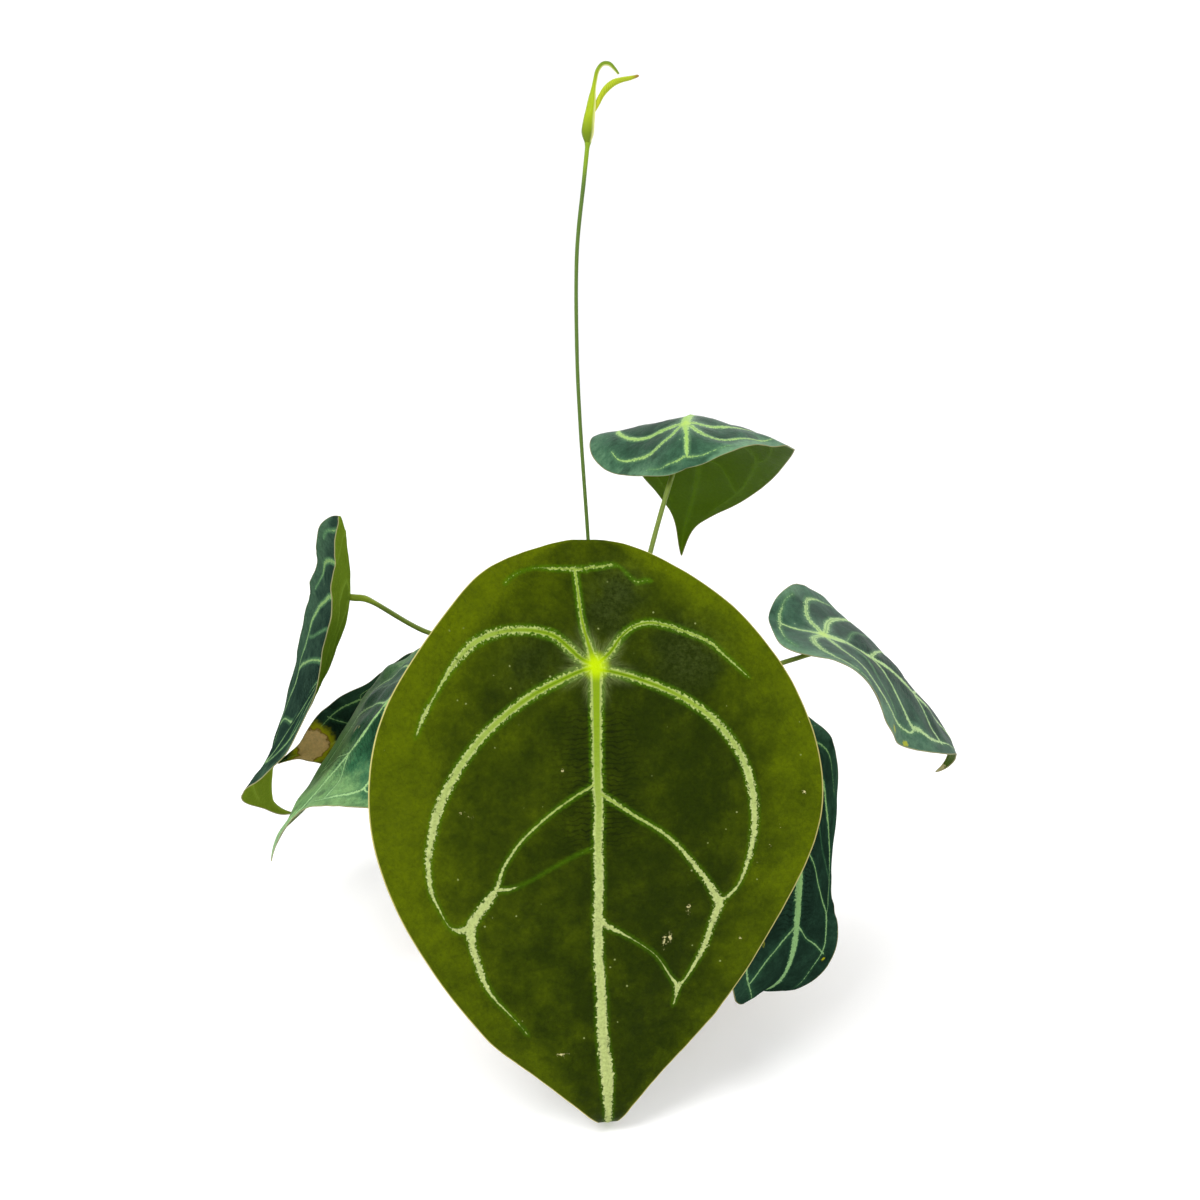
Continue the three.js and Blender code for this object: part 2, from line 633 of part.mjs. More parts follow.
function soilGeometry() {
  const floor = POT.floor + CLEARANCE;
  const inside = (height) => potOuterRadius(height) - POT.wall - CLEARANCE;
  const edge = inside(SOIL.top);
  const ringAt = (radius, heightOf) => {
    const ring = [];
    for (let k = 0; k < SOIL.sides; k += 1) {
      const angle = (2 * Math.PI * k) / SOIL.sides;
      const x = radius * Math.cos(angle);
      const y = radius * Math.sin(angle);
      ring.push(new THREE.Vector3(x, y, heightOf(x, y)));
    }
    return ring;
  };
  const rings = [ringAt(inside(floor) - SOIL.footInset, () => floor)];
  for (let i = SOIL.rings; i >= 1; i -= 1) rings.push(ringAt((edge * i) / SOIL.rings, soilHeight));
  const soil = toSolid(closedRings(rings));
  const gap = 1.5 * CLEARANCE;
  const roots = CROWN_ROOTS.map((root) => rootSolid(root, gap));
  return toGeometry(cut(soil, [crownCore(gap), ...roots]));
}

function potGeometry() {
  const { height, rimRadius, underRimRadius, footRadius, wall, floor, chamfer } = POT;
  const lip = height - POT.rimHeight;
  const inner = (level) => potOuterRadius(level) - wall;
  const corner = inner(floor + chamfer);
  const body = toSolid(turned([
    [0, 0], [footRadius - chamfer, 0], [footRadius, chamfer],
    [underRimRadius, lip - 1], [rimRadius - chamfer, lip], [rimRadius, lip + chamfer],
    [rimRadius, height - chamfer], [rimRadius - chamfer, height],
    [rimRadius - wall, height], [rimRadius - wall - 1, height - chamfer],
    [inner(lip), lip], [corner, floor + chamfer], [corner - chamfer, floor], [0, floor],
  ], POT.sides));
  const drains = [];
  for (let k = 0; k < POT.drainCount; k += 1) {
    const turn = (2 * Math.PI * (k + 0.5)) / POT.drainCount;
    const drain = new THREE.CylinderGeometry(
      POT.drainRadius, POT.drainRadius, 3 * floor, POT.drainSides)
      .rotateX(Math.PI / 2)
      .translate(POT.drainCircle * Math.cos(turn), POT.drainCircle * Math.sin(turn), floor / 2);
    drains.push(toSolid(drain));
  }
  return toGeometry(cut(body, drains));
}

// The plant

const group = new THREE.Group();

function addPiece(name, geometry, finish) {
  const piece = new THREE.Mesh(geometry, new THREE.MeshStandardMaterial(finish));
  piece.name = name;
  piece.geometry.computeVertexNormals();
  group.add(piece);
}

addPiece('pot', potGeometry(), CLAY);
addPiece('soil', soilGeometry(), BROWN_SOIL);
addPiece('crown', crownGeometry(), BROWN_CROWN);
LEAVES.forEach((leaf) => {
  addPiece(`petiole_${leaf.name}`, petioleGeometry(leaf), GREEN_LIGHT);
  addPiece(`blade_${leaf.name}`, bladeGeometry(leaf), leaf.finish);
});
addPiece('peduncle', peduncleGeometry(), GREEN_LIGHT);
addPiece('spathe', spatheGeometry(), GREEN_SPATHE);
addPiece('spadix', spadixGeometry(), YELLOW_GREEN);

export default group;
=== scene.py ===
# %% [markdown]
# # A potted anthurium
#
# The plant is already there as plain solids, which fix where everything is: seven
# shield-shaped blades on long petioles, one flower stalk with its spathe and spadix,
# a short crown, potting mix and a clay pot. This notebook gives each of them its fine
# form and its finish. The tables below describe the plant in millimetres; meshes are
# made in metres at the very last step.

# %% Load the frame
import math

import bpy
import numpy as np
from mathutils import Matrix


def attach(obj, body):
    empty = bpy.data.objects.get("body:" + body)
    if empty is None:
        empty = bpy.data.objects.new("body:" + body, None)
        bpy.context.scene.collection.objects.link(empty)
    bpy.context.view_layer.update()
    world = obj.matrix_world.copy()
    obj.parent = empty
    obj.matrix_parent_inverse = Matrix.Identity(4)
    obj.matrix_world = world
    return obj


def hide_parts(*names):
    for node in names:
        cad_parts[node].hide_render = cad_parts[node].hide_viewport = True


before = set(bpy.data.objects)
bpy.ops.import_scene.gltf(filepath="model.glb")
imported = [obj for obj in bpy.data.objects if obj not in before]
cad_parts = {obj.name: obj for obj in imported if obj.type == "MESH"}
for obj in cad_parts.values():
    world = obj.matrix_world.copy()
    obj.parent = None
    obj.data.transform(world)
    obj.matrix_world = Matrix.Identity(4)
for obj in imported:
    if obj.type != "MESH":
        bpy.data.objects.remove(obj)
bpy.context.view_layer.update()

# %% [markdown]
# ## Camera, floor and light
#
# The photo looks down on the plant by about 15 degrees from 0.8 m away. The stage is a
# shallow white bowl, so that every view ends in the same soft white, and one large lamp
# above the front left gives the leaves their gentle shine. A long lens would flatten the
# leaves that reach towards the viewer, so the lens stays near what the photo shows.

# %% Camera
CAMERA_PLACE = (0, -0.8165, 0.455)
CAMERA_PITCH = 15
LENS = 42
SENSOR = 36

camera_data = bpy.data.cameras.new("camera")
camera_data.lens = LENS
camera_data.sensor_width = SENSOR
camera = bpy.data.objects.new("camera", camera_data)
camera.location = CAMERA_PLACE
camera.rotation_euler = (math.radians(90 - CAMERA_PITCH), 0, 0)
bpy.context.scene.collection.objects.link(camera)
bpy.context.scene.camera = camera
print("camera", CAMERA_PLACE, "pitch", CAMERA_PITCH)

# %% Lamps and sky
LEAF_HEIGHT = (0, 0, 0.22)
LAMPS = {
    "key": dict(place=(-0.9, -1.3, 1.9), size=1.0, watts=38),
    "fill": dict(place=(1.6, -1.0, 1.0), size=1.6, watts=6),
    "back": dict(place=(0.5, 1.6, 1.5), size=1.4, watts=12),
}
SKY_STRENGTH = 0.62


def soft_lamp(name, place, size, watts, target=LEAF_HEIGHT):
    """A square lamp of that size in metres at place, turned to shine at target."""
    data = bpy.data.lights.new(name, "AREA")
    data.size = size
    data.energy = watts
    lamp = bpy.data.objects.new(name, data)
    lamp.location = place
    away = np.subtract(place, target)
    level = math.hypot(away[0], away[1])
    lamp.rotation_euler = (math.atan2(level, away[2]), 0, math.atan2(away[0], -away[1]))
    bpy.context.scene.collection.objects.link(lamp)
    return lamp


for lamp_name, lamp in LAMPS.items():
    soft_lamp(lamp_name, **lamp)

world = bpy.data.worlds.new("sky")
world.use_nodes = True
sky = world.node_tree.nodes["Background"].inputs
sky["Color"].default_value = (1, 1, 1, 1)
sky["Strength"].default_value = SKY_STRENGTH
bpy.context.scene.world = world
# The plain view keeps the white white and the greens as the palettes below give them.
bpy.context.scene.view_settings.view_transform = "Standard"
print("lamps:", {name: lamp["watts"] for name, lamp in LAMPS.items()}, "watts")

# %% [markdown]
# ## Two small tools
#
# A finish is written as arithmetic: `Wire` wraps one socket, and adding or multiplying
# wires adds the Math nodes. `Finish` holds one material and has one method, `node`, for
# every other node. The alternative, linking nodes one by one, hides the idea of a finish
# behind its plumbing.

# %% Wires


class Wire:
    """One output of a material's tree. Arithmetic on it adds Math nodes."""

    def __init__(self, finish, socket):
        self.finish = finish
        self.socket = socket

    def __add__(self, other):
        return self.finish.maths("ADD", self, other)

    def __radd__(self, other):
        return self.finish.maths("ADD", other, self)

    def __sub__(self, other):
        return self.finish.maths("SUBTRACT", self, other)

    def __rsub__(self, other):
        return self.finish.maths("SUBTRACT", other, self)

    def __mul__(self, other):
        return self.finish.maths("MULTIPLY", self, other)

    def __rmul__(self, other):
        return self.finish.maths("MULTIPLY", other, self)

    def __abs__(self):
        return self.finish.maths("ABSOLUTE", self)

    def most(self, other):
        """The larger of the two."""
        return self.finish.maths("MAXIMUM", self, other)

    def sine(self):
        """The sine, with the wire in radians."""
        return self.finish.maths("SINE", self)

    def step(self, low, high):
        """0 below low, 1 above high, and smooth between; falling if low is above high."""
        ends = {"Value": self, "From Min": low, "From Max": high}
        if low > high:
            ends.update({"From Min": high, "From Max": low, "To Min": 1.0, "To Max": 0.0})
        return self.finish.node("MapRange", ends, interpolation_type="SMOOTHSTEP")


print("wires know + - * abs, most, sine and step")

# %% Finishes


class Finish:
    """One material, made from a node tree. Its constants go straight on the shader."""

    def __init__(self, name, **constants):
        self.material = bpy.data.materials.new(name)
        self.material.use_nodes = True
        self.tree = self.material.node_tree
        self.shader = self.tree.nodes["Principled BSDF"]
        for words, value in constants.items():
            self.shader.inputs[words.replace("_", " ")].default_value = value

    def feed(self, socket, value):
        """Links a wire to the socket, or writes a plain value on it."""
        if isinstance(value, Wire):
            self.tree.links.new(value.socket, socket)
        else:
            socket.default_value = value

    def node(self, kind, inputs, out=0, **settings):
        """Adds a node of that kind. settings are set first, then inputs by name or index."""
        made = self.tree.nodes.new("ShaderNode" + kind)
        for setting, value in settings.items():
            setattr(made, setting, value)
        for key, value in inputs.items():
            self.feed(made.inputs[key], value)
        return Wire(self, made.outputs[out])

    def maths(self, operation, *values):
        """One Math node: the operation on one or two numbers or wires."""
        return self.node("Math", dict(enumerate(values)), operation=operation)

    def field(self, name):
        """The three numbers that the mesh stores under that name."""
        return self.node("Attribute", {}, out="Vector", attribute_name=name)

    def place(self):
        """Where the point lies, in metres."""
        return self.node("TexCoord", {}, out="Object")

    def parts(self, vector):
        """The three numbers of a vector, as three wires."""
        made = self.node("SeparateXYZ", {0: vector}).socket.node
        return [Wire(self, output) for output in made.outputs]

    def noise(self, where, scale, detail=2.0, roughness=0.5, distortion=0.0):
        """Clouds between 0 and 1, with scale of them per unit of where."""
        return self.node("TexNoise", {
            "Vector": where, "Scale": scale, "Detail": detail,
            "Roughness": roughness, "Distortion": distortion,
        })

    def mix(self, first, second, share):
        """The colour that lies at share of the way from first to second."""
        return self.node("Mix", {0: share, 6: first, 7: second}, out=2, data_type="RGBA")

    def scaled(self, shade, amount):
        """A colour made darker or lighter by a factor."""
        return self.node("VectorMath", {0: shade, "Scale": amount}, operation="SCALE")

    def bump(self, height, depth):
        """height is in parts of depth, which is in metres."""
        return self.node("Bump", {"Height": height, "Distance": depth, "Strength": 1.0})

    def finish(self, **sockets):
        """Feeds the shader's own sockets and gives back the material."""
        for words, value in sockets.items():
            self.feed(self.shader.inputs[words.replace("_", " ")], value)
        print("finish", self.material.name, "has", len(self.tree.nodes), "nodes")
        return self.material


print("a finish has the methods", [word for word in vars(Finish) if word[0] != "_"])

# %% Colours


def colour(red, green, blue):
    """A colour as seen on a screen, 0 to 255, turned into the linear values of a shader.

    A screen value is about the 2.4th root of the light, with a straight part near black.
    """
    linear = [
        c / 12.92 if c <= 0.04045 else ((c + 0.055) / 1.055) ** 2.4
        for c in (red / 255, green / 255, blue / 255)
    ]
    return (*linear, 1)


print("a screen grey of 128 is", round(colour(128, 128, 128)[0], 3), "of full light")

# %% [markdown]
# ## Meshes from arrays
#
# Every new piece is a grid of points that numpy works out at once, so a piece is
# described by the formula of its surface. Faces of a grid are quads. Two kinds of body
# come from a grid: rings round a path, closed by one many-sided face at each end, and two
# skins a little apart, joined round their border. A subdivided cage or sculpting could
# give the same forms, but their sizes could not be read from the script.

# %% Directions and turns


def unit(vectors):
    """Vectors of the same directions, with length 1."""
    return vectors / np.linalg.norm(vectors, axis=-1, keepdims=True)


def headings(path):
    """Which way a path runs at each of its points."""
    return unit(np.gradient(path, axis=0))


def about_z(radius, angle, height):
    """Points at a radius, an angle about Z and a height, which may be grids."""
    flat = radius * np.cos(angle), radius * np.sin(angle)
    return np.stack(np.broadcast_arrays(*flat, height), -1)


print("a point at radius 2 and a right angle about Z:", about_z(2, math.pi / 2, 0).round(3))

# %% Faces of a grid


def grid_faces(rows, columns, wrap=False, first=0):
    """Quads of a grid of rows x columns points, turned so that rows cross columns outwards."""
    index = first + np.arange(rows * columns).reshape(rows, columns)
    right = np.roll(index, -1, axis=1)
    if not wrap:
        index, right = index[:, :-1], right[:, :-1]
    quads = [index[:-1], index[1:], right[1:], right[:-1]]
    return np.stack(quads, axis=-1).reshape(-1, 4)


def closed_rings(rings):
    """Points and faces of rows of rings, turning left as they climb, closed at both ends."""
    rows, sides = rings.shape[:2]
    index = np.arange(rows * sides).reshape(rows, sides)
    walls = grid_faces(rows, sides, wrap=True)[:, ::-1]
    return rings.reshape(-1, 3), [walls, index[:1, ::-1], index[-1:]]


def two_skins(upper, lower):
    """Points and faces of a sheet: its upper grid, its lower grid and the rim between them."""
    rows, columns = upper.shape[:2]
    count = rows * columns
    index = np.arange(count).reshape(rows, columns)
    sides = [index[0, :-1], index[:-1, -1], index[-1, :0:-1], index[:0:-1, 0]]
    border = np.concatenate(sides)
    following = np.roll(border, -1)
    rim = np.stack([border, following, following + count, border + count], -1)
    top = grid_faces(rows, columns)
    under = grid_faces(rows, columns, first=count)[:, ::-1]
    return np.concatenate([upper, lower]).reshape(-1, 3), [top, under, rim]


def gathered(shells):
    """Points and faces of several closed shells as one list."""
    points, faces, first = [], [], 0
    for shell_points, shell_faces in shells:
        points.append(shell_points)
        faces += [part + first for part in shell_faces]
        first += len(shell_points)
    return np.vstack(points), faces


print("a grid of 3 x 4 points has", len(grid_faces(3, 4)), "faces")

# %% From arrays to a piece
MM = 0.001


def make_piece(name, points, faces, material, slot, replaces=(), fields=None, crease=None):
    """A smooth mesh from points in millimetres and a list of face arrays."""
    mesh = bpy.data.meshes.new(name)
    corners = np.concatenate([part.ravel() for part in faces]).astype(np.int32)
    sizes = np.concatenate([np.full(len(part), part.shape[1]) for part in faces])
    starts = np.concatenate([[0], np.cumsum(sizes)[:-1]]).astype(np.int32)
    mesh.vertices.add(len(points))
    mesh.vertices.foreach_set("co", np.ascontiguousarray(points * MM, np.float32).ravel())
    mesh.loops.add(len(corners))
    mesh.loops.foreach_set("vertex_index", corners)
    mesh.polygons.add(len(sizes))
    mesh.polygons.foreach_set("loop_start", starts)
    mesh.update(calc_edges=True)
    for field, values in (fields or {}).items():
        layer = mesh.attributes.new(field, "FLOAT_VECTOR", "POINT")
        layer.data.foreach_set("vector", np.ascontiguousarray(values, np.float32).ravel())
    mesh.shade_smooth()
    if crease is not None:
        mesh.set_sharp_from_angle(angle=math.radians(crease))
    piece = bpy.data.objects.new(name, mesh)
    bpy.context.scene.collection.objects.link(piece)
    return settle(piece, material, replaces)


def settle(piece, material, replaces=()):
    """Gives a piece its finish, the body that carries it and the solids it replaces."""
    piece.data.materials.clear()
    piece.data.materials.append(material)
    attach(piece, "root")
    if replaces:
        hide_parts(*replaces)
    print(piece.name, len(piece.data.vertices), "points")
    return piece


def apply_modifiers(piece):
    """Replaces a piece's mesh by what its modifiers make of it."""
    shown = piece.evaluated_get(bpy.context.evaluated_depsgraph_get())
    mesh = bpy.data.meshes.new_from_object(shown)
    piece.modifiers.clear()
    piece.data = mesh
    mesh.shade_smooth()
    print(piece.name, len(mesh.polygons), "faces after its modifiers")
    return mesh


print("tables are in millimetres, meshes in metres: a scale of", MM)

# %% [markdown]
# ## Smooth tables, hills and paths
#
# Growth is never straight, so most values change smoothly along a leaf or a stalk. A
# short table and one smooth curve through it say this with few numbers. Small random
# hills come from a few sine waves, which are smooth, quick and the same on every run.

# %% Smooth tables


def glide(places, values, at):
    """A smooth curve through values at places, level past both ends.

    Between two places it is the cubic whose slope at each place is the rise over the run
    between that place's neighbours.
    """
    places, values = np.asarray(places, float), np.asarray(values, float)
    before = np.maximum(np.arange(len(places)) - 1, 0)
    after = np.minimum(np.arange(len(places)) + 1, len(places) - 1)
    slopes = (values[after] - values[before]) / (places[after] - places[before])
    at = np.clip(at, places[0], places[-1])
    low = np.clip(np.searchsorted(places, at, side="right") - 1, 0, len(places) - 2)
    step = places[low + 1] - places[low]
    u = (at - places[low]) / step
    v = 1 - u
    return (
        values[low] * (1 + 2 * u) * v * v + slopes[low] * step * u * v * v
        + values[low + 1] * u * u * (3 - 2 * u) - slopes[low + 1] * step * u * u * v
    )


def ramp(low, high, at):
    """0 below low, 1 above high and smooth between them; low may be the larger."""
    u = np.clip((at - low) / (high - low), 0, 1)
    return u * u * (3 - 2 * u)


print("a smooth step at its middle:", ramp(0, 1, 0.5))

# %% Hills


def waves(points, size, seed, count=9):
    """Gentle random hills between about -1 and 1: a sum of count sine waves.

    Their crests are about size apart, each along its own random direction.
    """
    random = np.random.default_rng(seed)
    heading = unit(random.normal(size=(count, points.shape[-1])))
    pace = 2 * np.pi / size * random.uniform(0.6, 1.5, count)
    phase = random.uniform(0, 2 * np.pi, count)
    return np.sin(points @ (heading * pace[:, None]).T + phase).sum(-1) / np.sqrt(count)


hills = waves(np.linspace((0, 0), (100, 80), 500), 10, 0)
print("hills reach from", hills.min().round(1), "to", hills.max().round(1))

# %% Paths


def curve_points(knots, per_span=24):
    """Close points of a curve through knots, and how far along it each one lies.

    Each span is a centripetal Catmull-Rom cubic: its slopes come from the neighbouring
    knots, each weighed by the square root of its distance.
    """
    knots = np.asarray(knots, float)
    ends = [2 * knots[0] - knots[1], 2 * knots[-1] - knots[-2]]
    p = np.vstack([ends[0], knots, ends[1]])
    gap = np.sqrt(np.linalg.norm(np.diff(p, axis=0), axis=1))
    t = np.linspace(0, 1, per_span, endpoint=False)[:, None]
    spans = []
    for k in range(1, len(p) - 2):
        a, b, c = gap[k - 1], gap[k], gap[k + 1]
        first = ((p[k] - p[k - 1]) / a - (p[k + 1] - p[k - 1]) / (a + b) + (p[k + 1] - p[k]) / b) * b
        last = ((p[k + 1] - p[k]) / b - (p[k + 2] - p[k]) / (b + c) + (p[k + 2] - p[k + 1]) / c) * b
        rise = p[k + 1] - p[k]
        spans.append(p[k] + first * t + (3 * rise - 2 * first - last) * t**2
                     + (first + last - 2 * rise) * t**3)
    dense = np.vstack([*spans, knots[-1]])
    length = np.concatenate([[0], np.cumsum(np.linalg.norm(np.diff(dense, axis=0), axis=1))])
    return dense, length


def even_curve(knots, steps):
    """steps + 1 points at equal distances along the curve through knots, and its length."""
    dense, length = curve_points(knots)
    at = np.linspace(0, length[-1], steps + 1)
    points = np.stack([np.interp(at, length, dense[:, axis]) for axis in range(dense.shape[1])], 1)
    return points, length[-1]


print("a bend through (0, 0), (1, 1), (2, 0) is", even_curve([(0, 0), (1, 1), (2, 0)], 4)[1], "long")

# %% [markdown]
# ## Blades
#
# A blade is laid out flat first, in millimetres across and along its midrib from the
# joint with the petiole, and then bent. The midrib is walked in short steps, and at each
# place its frame is turned by a bend, a sway and a twist. Each half of the blade leaves the
# midrib at an angle and curls at an even rate, so no distance along the blade changes.
# The same tables shaped the solids, so the fine blade lies exactly on the plain one.
#
# Places are shares of the length from joint to tip, so the heel ends at a negative place.
# Azimuths turn from the right, headings from the viewer, and all turns are in degrees.

# %% Blade outline
HEEL_SHARE = 0.2434
BLADE_THICKNESS = 0.8
MARGIN_THICKNESS = 0.45
MARGIN_WIDTH = 6
FIRST_ANGLE = 0.6
LAST_ANGLE = 179.4
THINNEST_TIP = 0.3

OUTLINE = {
    "left": [0.9, 1.05, 1.02, 1.08, 1, 0.82, 0.55, 0.2, 0.1, 0.08],
    "right": [0.96, 0.91, 1.03, 1.08, 1.04, 0.84, 0.58, 0.2, 0.1, 0.08],
}
OUTLINE_PLACES = np.linspace(0, np.pi, len(OUTLINE["left"]))

BLADE_PLACES = [-HEEL_SHARE, 0, 0.4, 0.8, 1]
SECTION_PLACES = [-HEEL_SHARE, 0, 0.4, 0.8]
FOLDED_TIP_PLACES = [-HEEL_SHARE, 0, 0.4, 0.83, 0.91, 1]
FOLD_NARROWS_AT = [0.68, 0.76, 0.81, 0.85, 0.88, 1]
FOLD_NARROWS_TO = [1, 0.92, 0.825, 0.66, 0.5, 0.6]
print("heel and tip at places", -HEEL_SHARE, "and 1")

# %% Blade tables
LEAVES = {
    "front": dict(
        length=274, width=230, rows=230, columns=164,
        joint=(-2, -149, 242), heading=6, droop=71, roll=-5,
        places=FOLDED_TIP_PLACES, bend=[-25, 0, 10, 20, 95, 130],
        sway=[0, 0, 0, 5, 5, 0], twist=[0, 0, 0, -5, -5, 0],
        left=dict(rise=[0, 10, 0, 0], curl=[0, 0, 0, 0]),
        right=dict(rise=[0, -5, 0, -10], curl=[0, 5, 0, 0]),
        stem=dict(azimuth=-92, height=124, via=[[0, -24, 185], [-1, -66, 232], [-2, -104, 240]]),
    ),
    "upper_right": dict(
        length=185, width=144, rows=130, columns=96,
        joint=(54.6, 82, 332.6), heading=170, droop=-15, roll=0,
        places=BLADE_PLACES, bend=[-35, 0, 60, 80, 110],
        sway=[15, 0, 0, 15, 0], twist=[15, 0, 0, 0, 0],
        left=dict(rise=[-15, -10, -5, 0], curl=[-15, -10, -25, -15]),
        right=dict(rise=[-20, -30, 10, 0], curl=[-25, -20, -25, 0]),
        stem=dict(azimuth=52, height=129, via=[[17, 26, 195], [32, 46, 256], [46, 68, 300]]),
    ),
    "left_upper": dict(
        length=210, width=147, rows=130, columns=96,
        joint=(-154, 5, 237), heading=-105, droop=80, roll=-25,
        places=BLADE_PLACES, bend=[25, 0, -20, 5, 65],
        sway=[0, 0, -20, -25, -40], twist=[15, 0, -5, -10, 0],
        left=dict(rise=[15, 20, 15, 10], curl=[0, -5, 5, -10]),
        right=dict(rise=[20, 5, 10, 15], curl=[25, 10, -15, 0]),
        stem=dict(azimuth=180, height=131, via=[[-40, 24, 186], [-78, 31, 202], [-107, 26, 208]]),
    ),
    "left_spotted": dict(
        length=112, width=103, rows=110, columns=80,
        joint=(-108, 29, 169.5), heading=-90, droop=25, roll=-15,
        places=BLADE_PLACES, bend=[0, 0, 10, -15, 15],
        sway=[0, 0, 0, 10, -15], twist=[0, 0, 0, 10, 0],
        left=dict(rise=[0, 5, 5, 25], curl=[0, 0, 0, 0]),
        right=dict(rise=[0, 0, 15, 10], curl=[0, 0, 0, 0]),
        stem=dict(azimuth=150, height=122, via=[[-38, 24, 140], [-76, 30, 149]]),
    ),
    "left_lower": dict(
        length=155, width=143, rows=120, columns=96,
        joint=(-100.7, -42.5, 214), heading=-75, droop=45, roll=0,
        places=BLADE_PLACES, bend=[-5, 0, 10, 0, 35],
        sway=[0, 0, -10, 10, -10], twist=[0, 0, 0, -10, 5],
        left=dict(rise=[0, -15, -5, 5], curl=[0, 5, 0, 0]),
        right=dict(rise=[0, 0, -10, 5], curl=[0, 0, -10, 10]),
        stem=dict(azimuth=218, height=124, via=[[-30, -24, 165], [-62, -34, 190]]),
    ),
    "right": dict(
        length=150, width=129, rows=120, columns=90,
        joint=(136, -1, 214.5), heading=95, droop=20, roll=15,
        places=BLADE_PLACES, bend=[0, 0, 25, 45, 130],
        sway=[0, 0, 0, 5, 0], twist=[-10, 0, 5, 0, 0],
        left=dict(rise=[0, 15, -5, 0], curl=[0, -5, -30, 0]),
        right=dict(rise=[20, 5, 5, -15], curl=[0, -10, -30, 0]),
        stem=dict(azimuth=0, height=130, via=[[42, 1, 166], [82, 0, 186], [110, 0, 196]]),
    ),
    "right_lower": dict(
        length=180, width=144, rows=130, columns=96,
        joint=(107.7, -82.5, 161.4), heading=25, droop=70, roll=-10,
        places=BLADE_PLACES, bend=[-35, 0, 0, 75, 125],
        sway=[-15, 0, -15, 10, 0], twist=[0, 0, 0, -5, 0],
        left=dict(rise=[0, 0, 0, 10], curl=[0, 0, 0, 0]),
        right=dict(rise=[-20, -10, -25, 5], curl=[10, -30, -15, 0]),
        stem=dict(azimuth=-42, height=122, via=[[38, -22, 148], [72, -44, 162]]),
    ),
}
print("blades and their lengths:", {name: leaf["length"] for name, leaf in LEAVES.items()})

# %% How the midrib runs
MIDRIB_STEPS = 120


def aim(leaf):
    """The straight frame at the joint: across to the right, towards the tip, and up."""
    heading, droop, roll = np.radians([leaf["heading"], leaf["droop"], leaf["roll"]])
    tip = np.array([
        np.sin(heading) * np.cos(droop), -np.cos(heading) * np.cos(droop), -np.sin(droop),
    ])
    level = np.array([np.cos(heading), np.sin(heading), 0])
    across = level * np.cos(roll) + np.cross(tip, level) * np.sin(roll)
    return across, tip, np.cross(tip, across)


def midrib_turn(leaf, place):
    """The midrib's own frame at each place: it bends about X, sways about Z, twists about Y."""
    bend, sway, twist = (
        np.radians(glide(leaf["places"], leaf[turn], place)) for turn in ("bend", "sway", "twist")
    )
    zero, one = np.zeros_like(bend), np.ones_like(bend)

    def matrix(*rows):
        """Three rows of three numbers as one matrix for each place."""
        return np.stack([np.stack(row, -1) for row in rows], -2)

    bending = matrix(
        (one, zero, zero), (zero, np.cos(bend), -np.sin(bend)), (zero, np.sin(bend), np.cos(bend)))
    swaying = matrix(
        (np.cos(sway), -np.sin(sway), zero), (np.sin(sway), np.cos(sway), zero), (zero, zero, one))
    twisting = matrix(
        (np.cos(twist), zero, np.sin(twist)), (zero, one, zero), (-np.sin(twist), zero, np.cos(twist)))
    return bending @ swaying @ twisting


def midrib_points(leaf, place):
    """Points of the midrib in the joint's frame: equal steps, each along its own turn."""
    span = 1 + HEEL_SHARE
    middle = -HEEL_SHARE + span * (np.arange(MIDRIB_STEPS) + 0.5) / MIDRIB_STEPS
    step = -midrib_turn(leaf, middle)[:, :, 1] * leaf["length"] * span / MIDRIB_STEPS
    walked = np.vstack([np.zeros(3), np.cumsum(step, axis=0)])
    knots = np.linspace(-HEEL_SHARE, 1, MIDRIB_STEPS + 1)
    at = [np.interp(place, knots, walked[:, axis]) - np.interp(0, knots, walked[:, axis])
          for axis in range(3)]
    return np.stack(at, -1)


front_tip = midrib_points(LEAVES["front"], 1)
print("front blade, joint to tip through the air:", np.linalg.norm(front_tip).round(1), "mm")

# %% How a blade bends
STRAIGHT = 1e-4


def bent(leaf, across, along):
    """Flat places in millimetres, bent onto the blade's upper face.

    A half of the blade is an arc: it starts at its rise off the midrib and turns by its
    curl over half the blade's width.
    """
    place = along / leaf["length"]
    halves = []
    for side in ("left", "right"):
        rise, curl = (np.radians(glide(SECTION_PLACES, leaf[side][turn], place))
                      for turn in ("rise", "curl"))
        halves.append((rise, np.where(np.abs(curl) < STRAIGHT, STRAIGHT, curl)))
    left = across < 0
    start = np.where(left, halves[0][0], halves[1][0])
    reach = leaf["width"] / 2 / np.where(left, halves[0][1], halves[1][1])
    end = start + np.abs(across) / reach
    sideways = (np.sin(end) - np.sin(start)) * reach * np.sign(across)
    lift = (np.cos(start) - np.cos(end)) * reach
    local = np.stack([sideways, np.zeros_like(lift), lift], -1)[..., None]
    local = (midrib_turn(leaf, place) @ local)[..., 0] + midrib_points(leaf, place)
    right, tip, up = aim(leaf)
    return (np.array(leaf["joint"]) + local[..., :1] * right
            - local[..., 1:2] * tip + local[..., 2:] * up)


def blade_up(leaf, across, along, probe=0.5):
    """The upward normal of the bent blade, from the slopes across and along it."""
    right = bent(leaf, across + probe, along) - bent(leaf, across - probe, along)
    ahead = bent(leaf, across, along + probe) - bent(leaf, across, along - probe)
    return unit(np.cross(ahead, right))


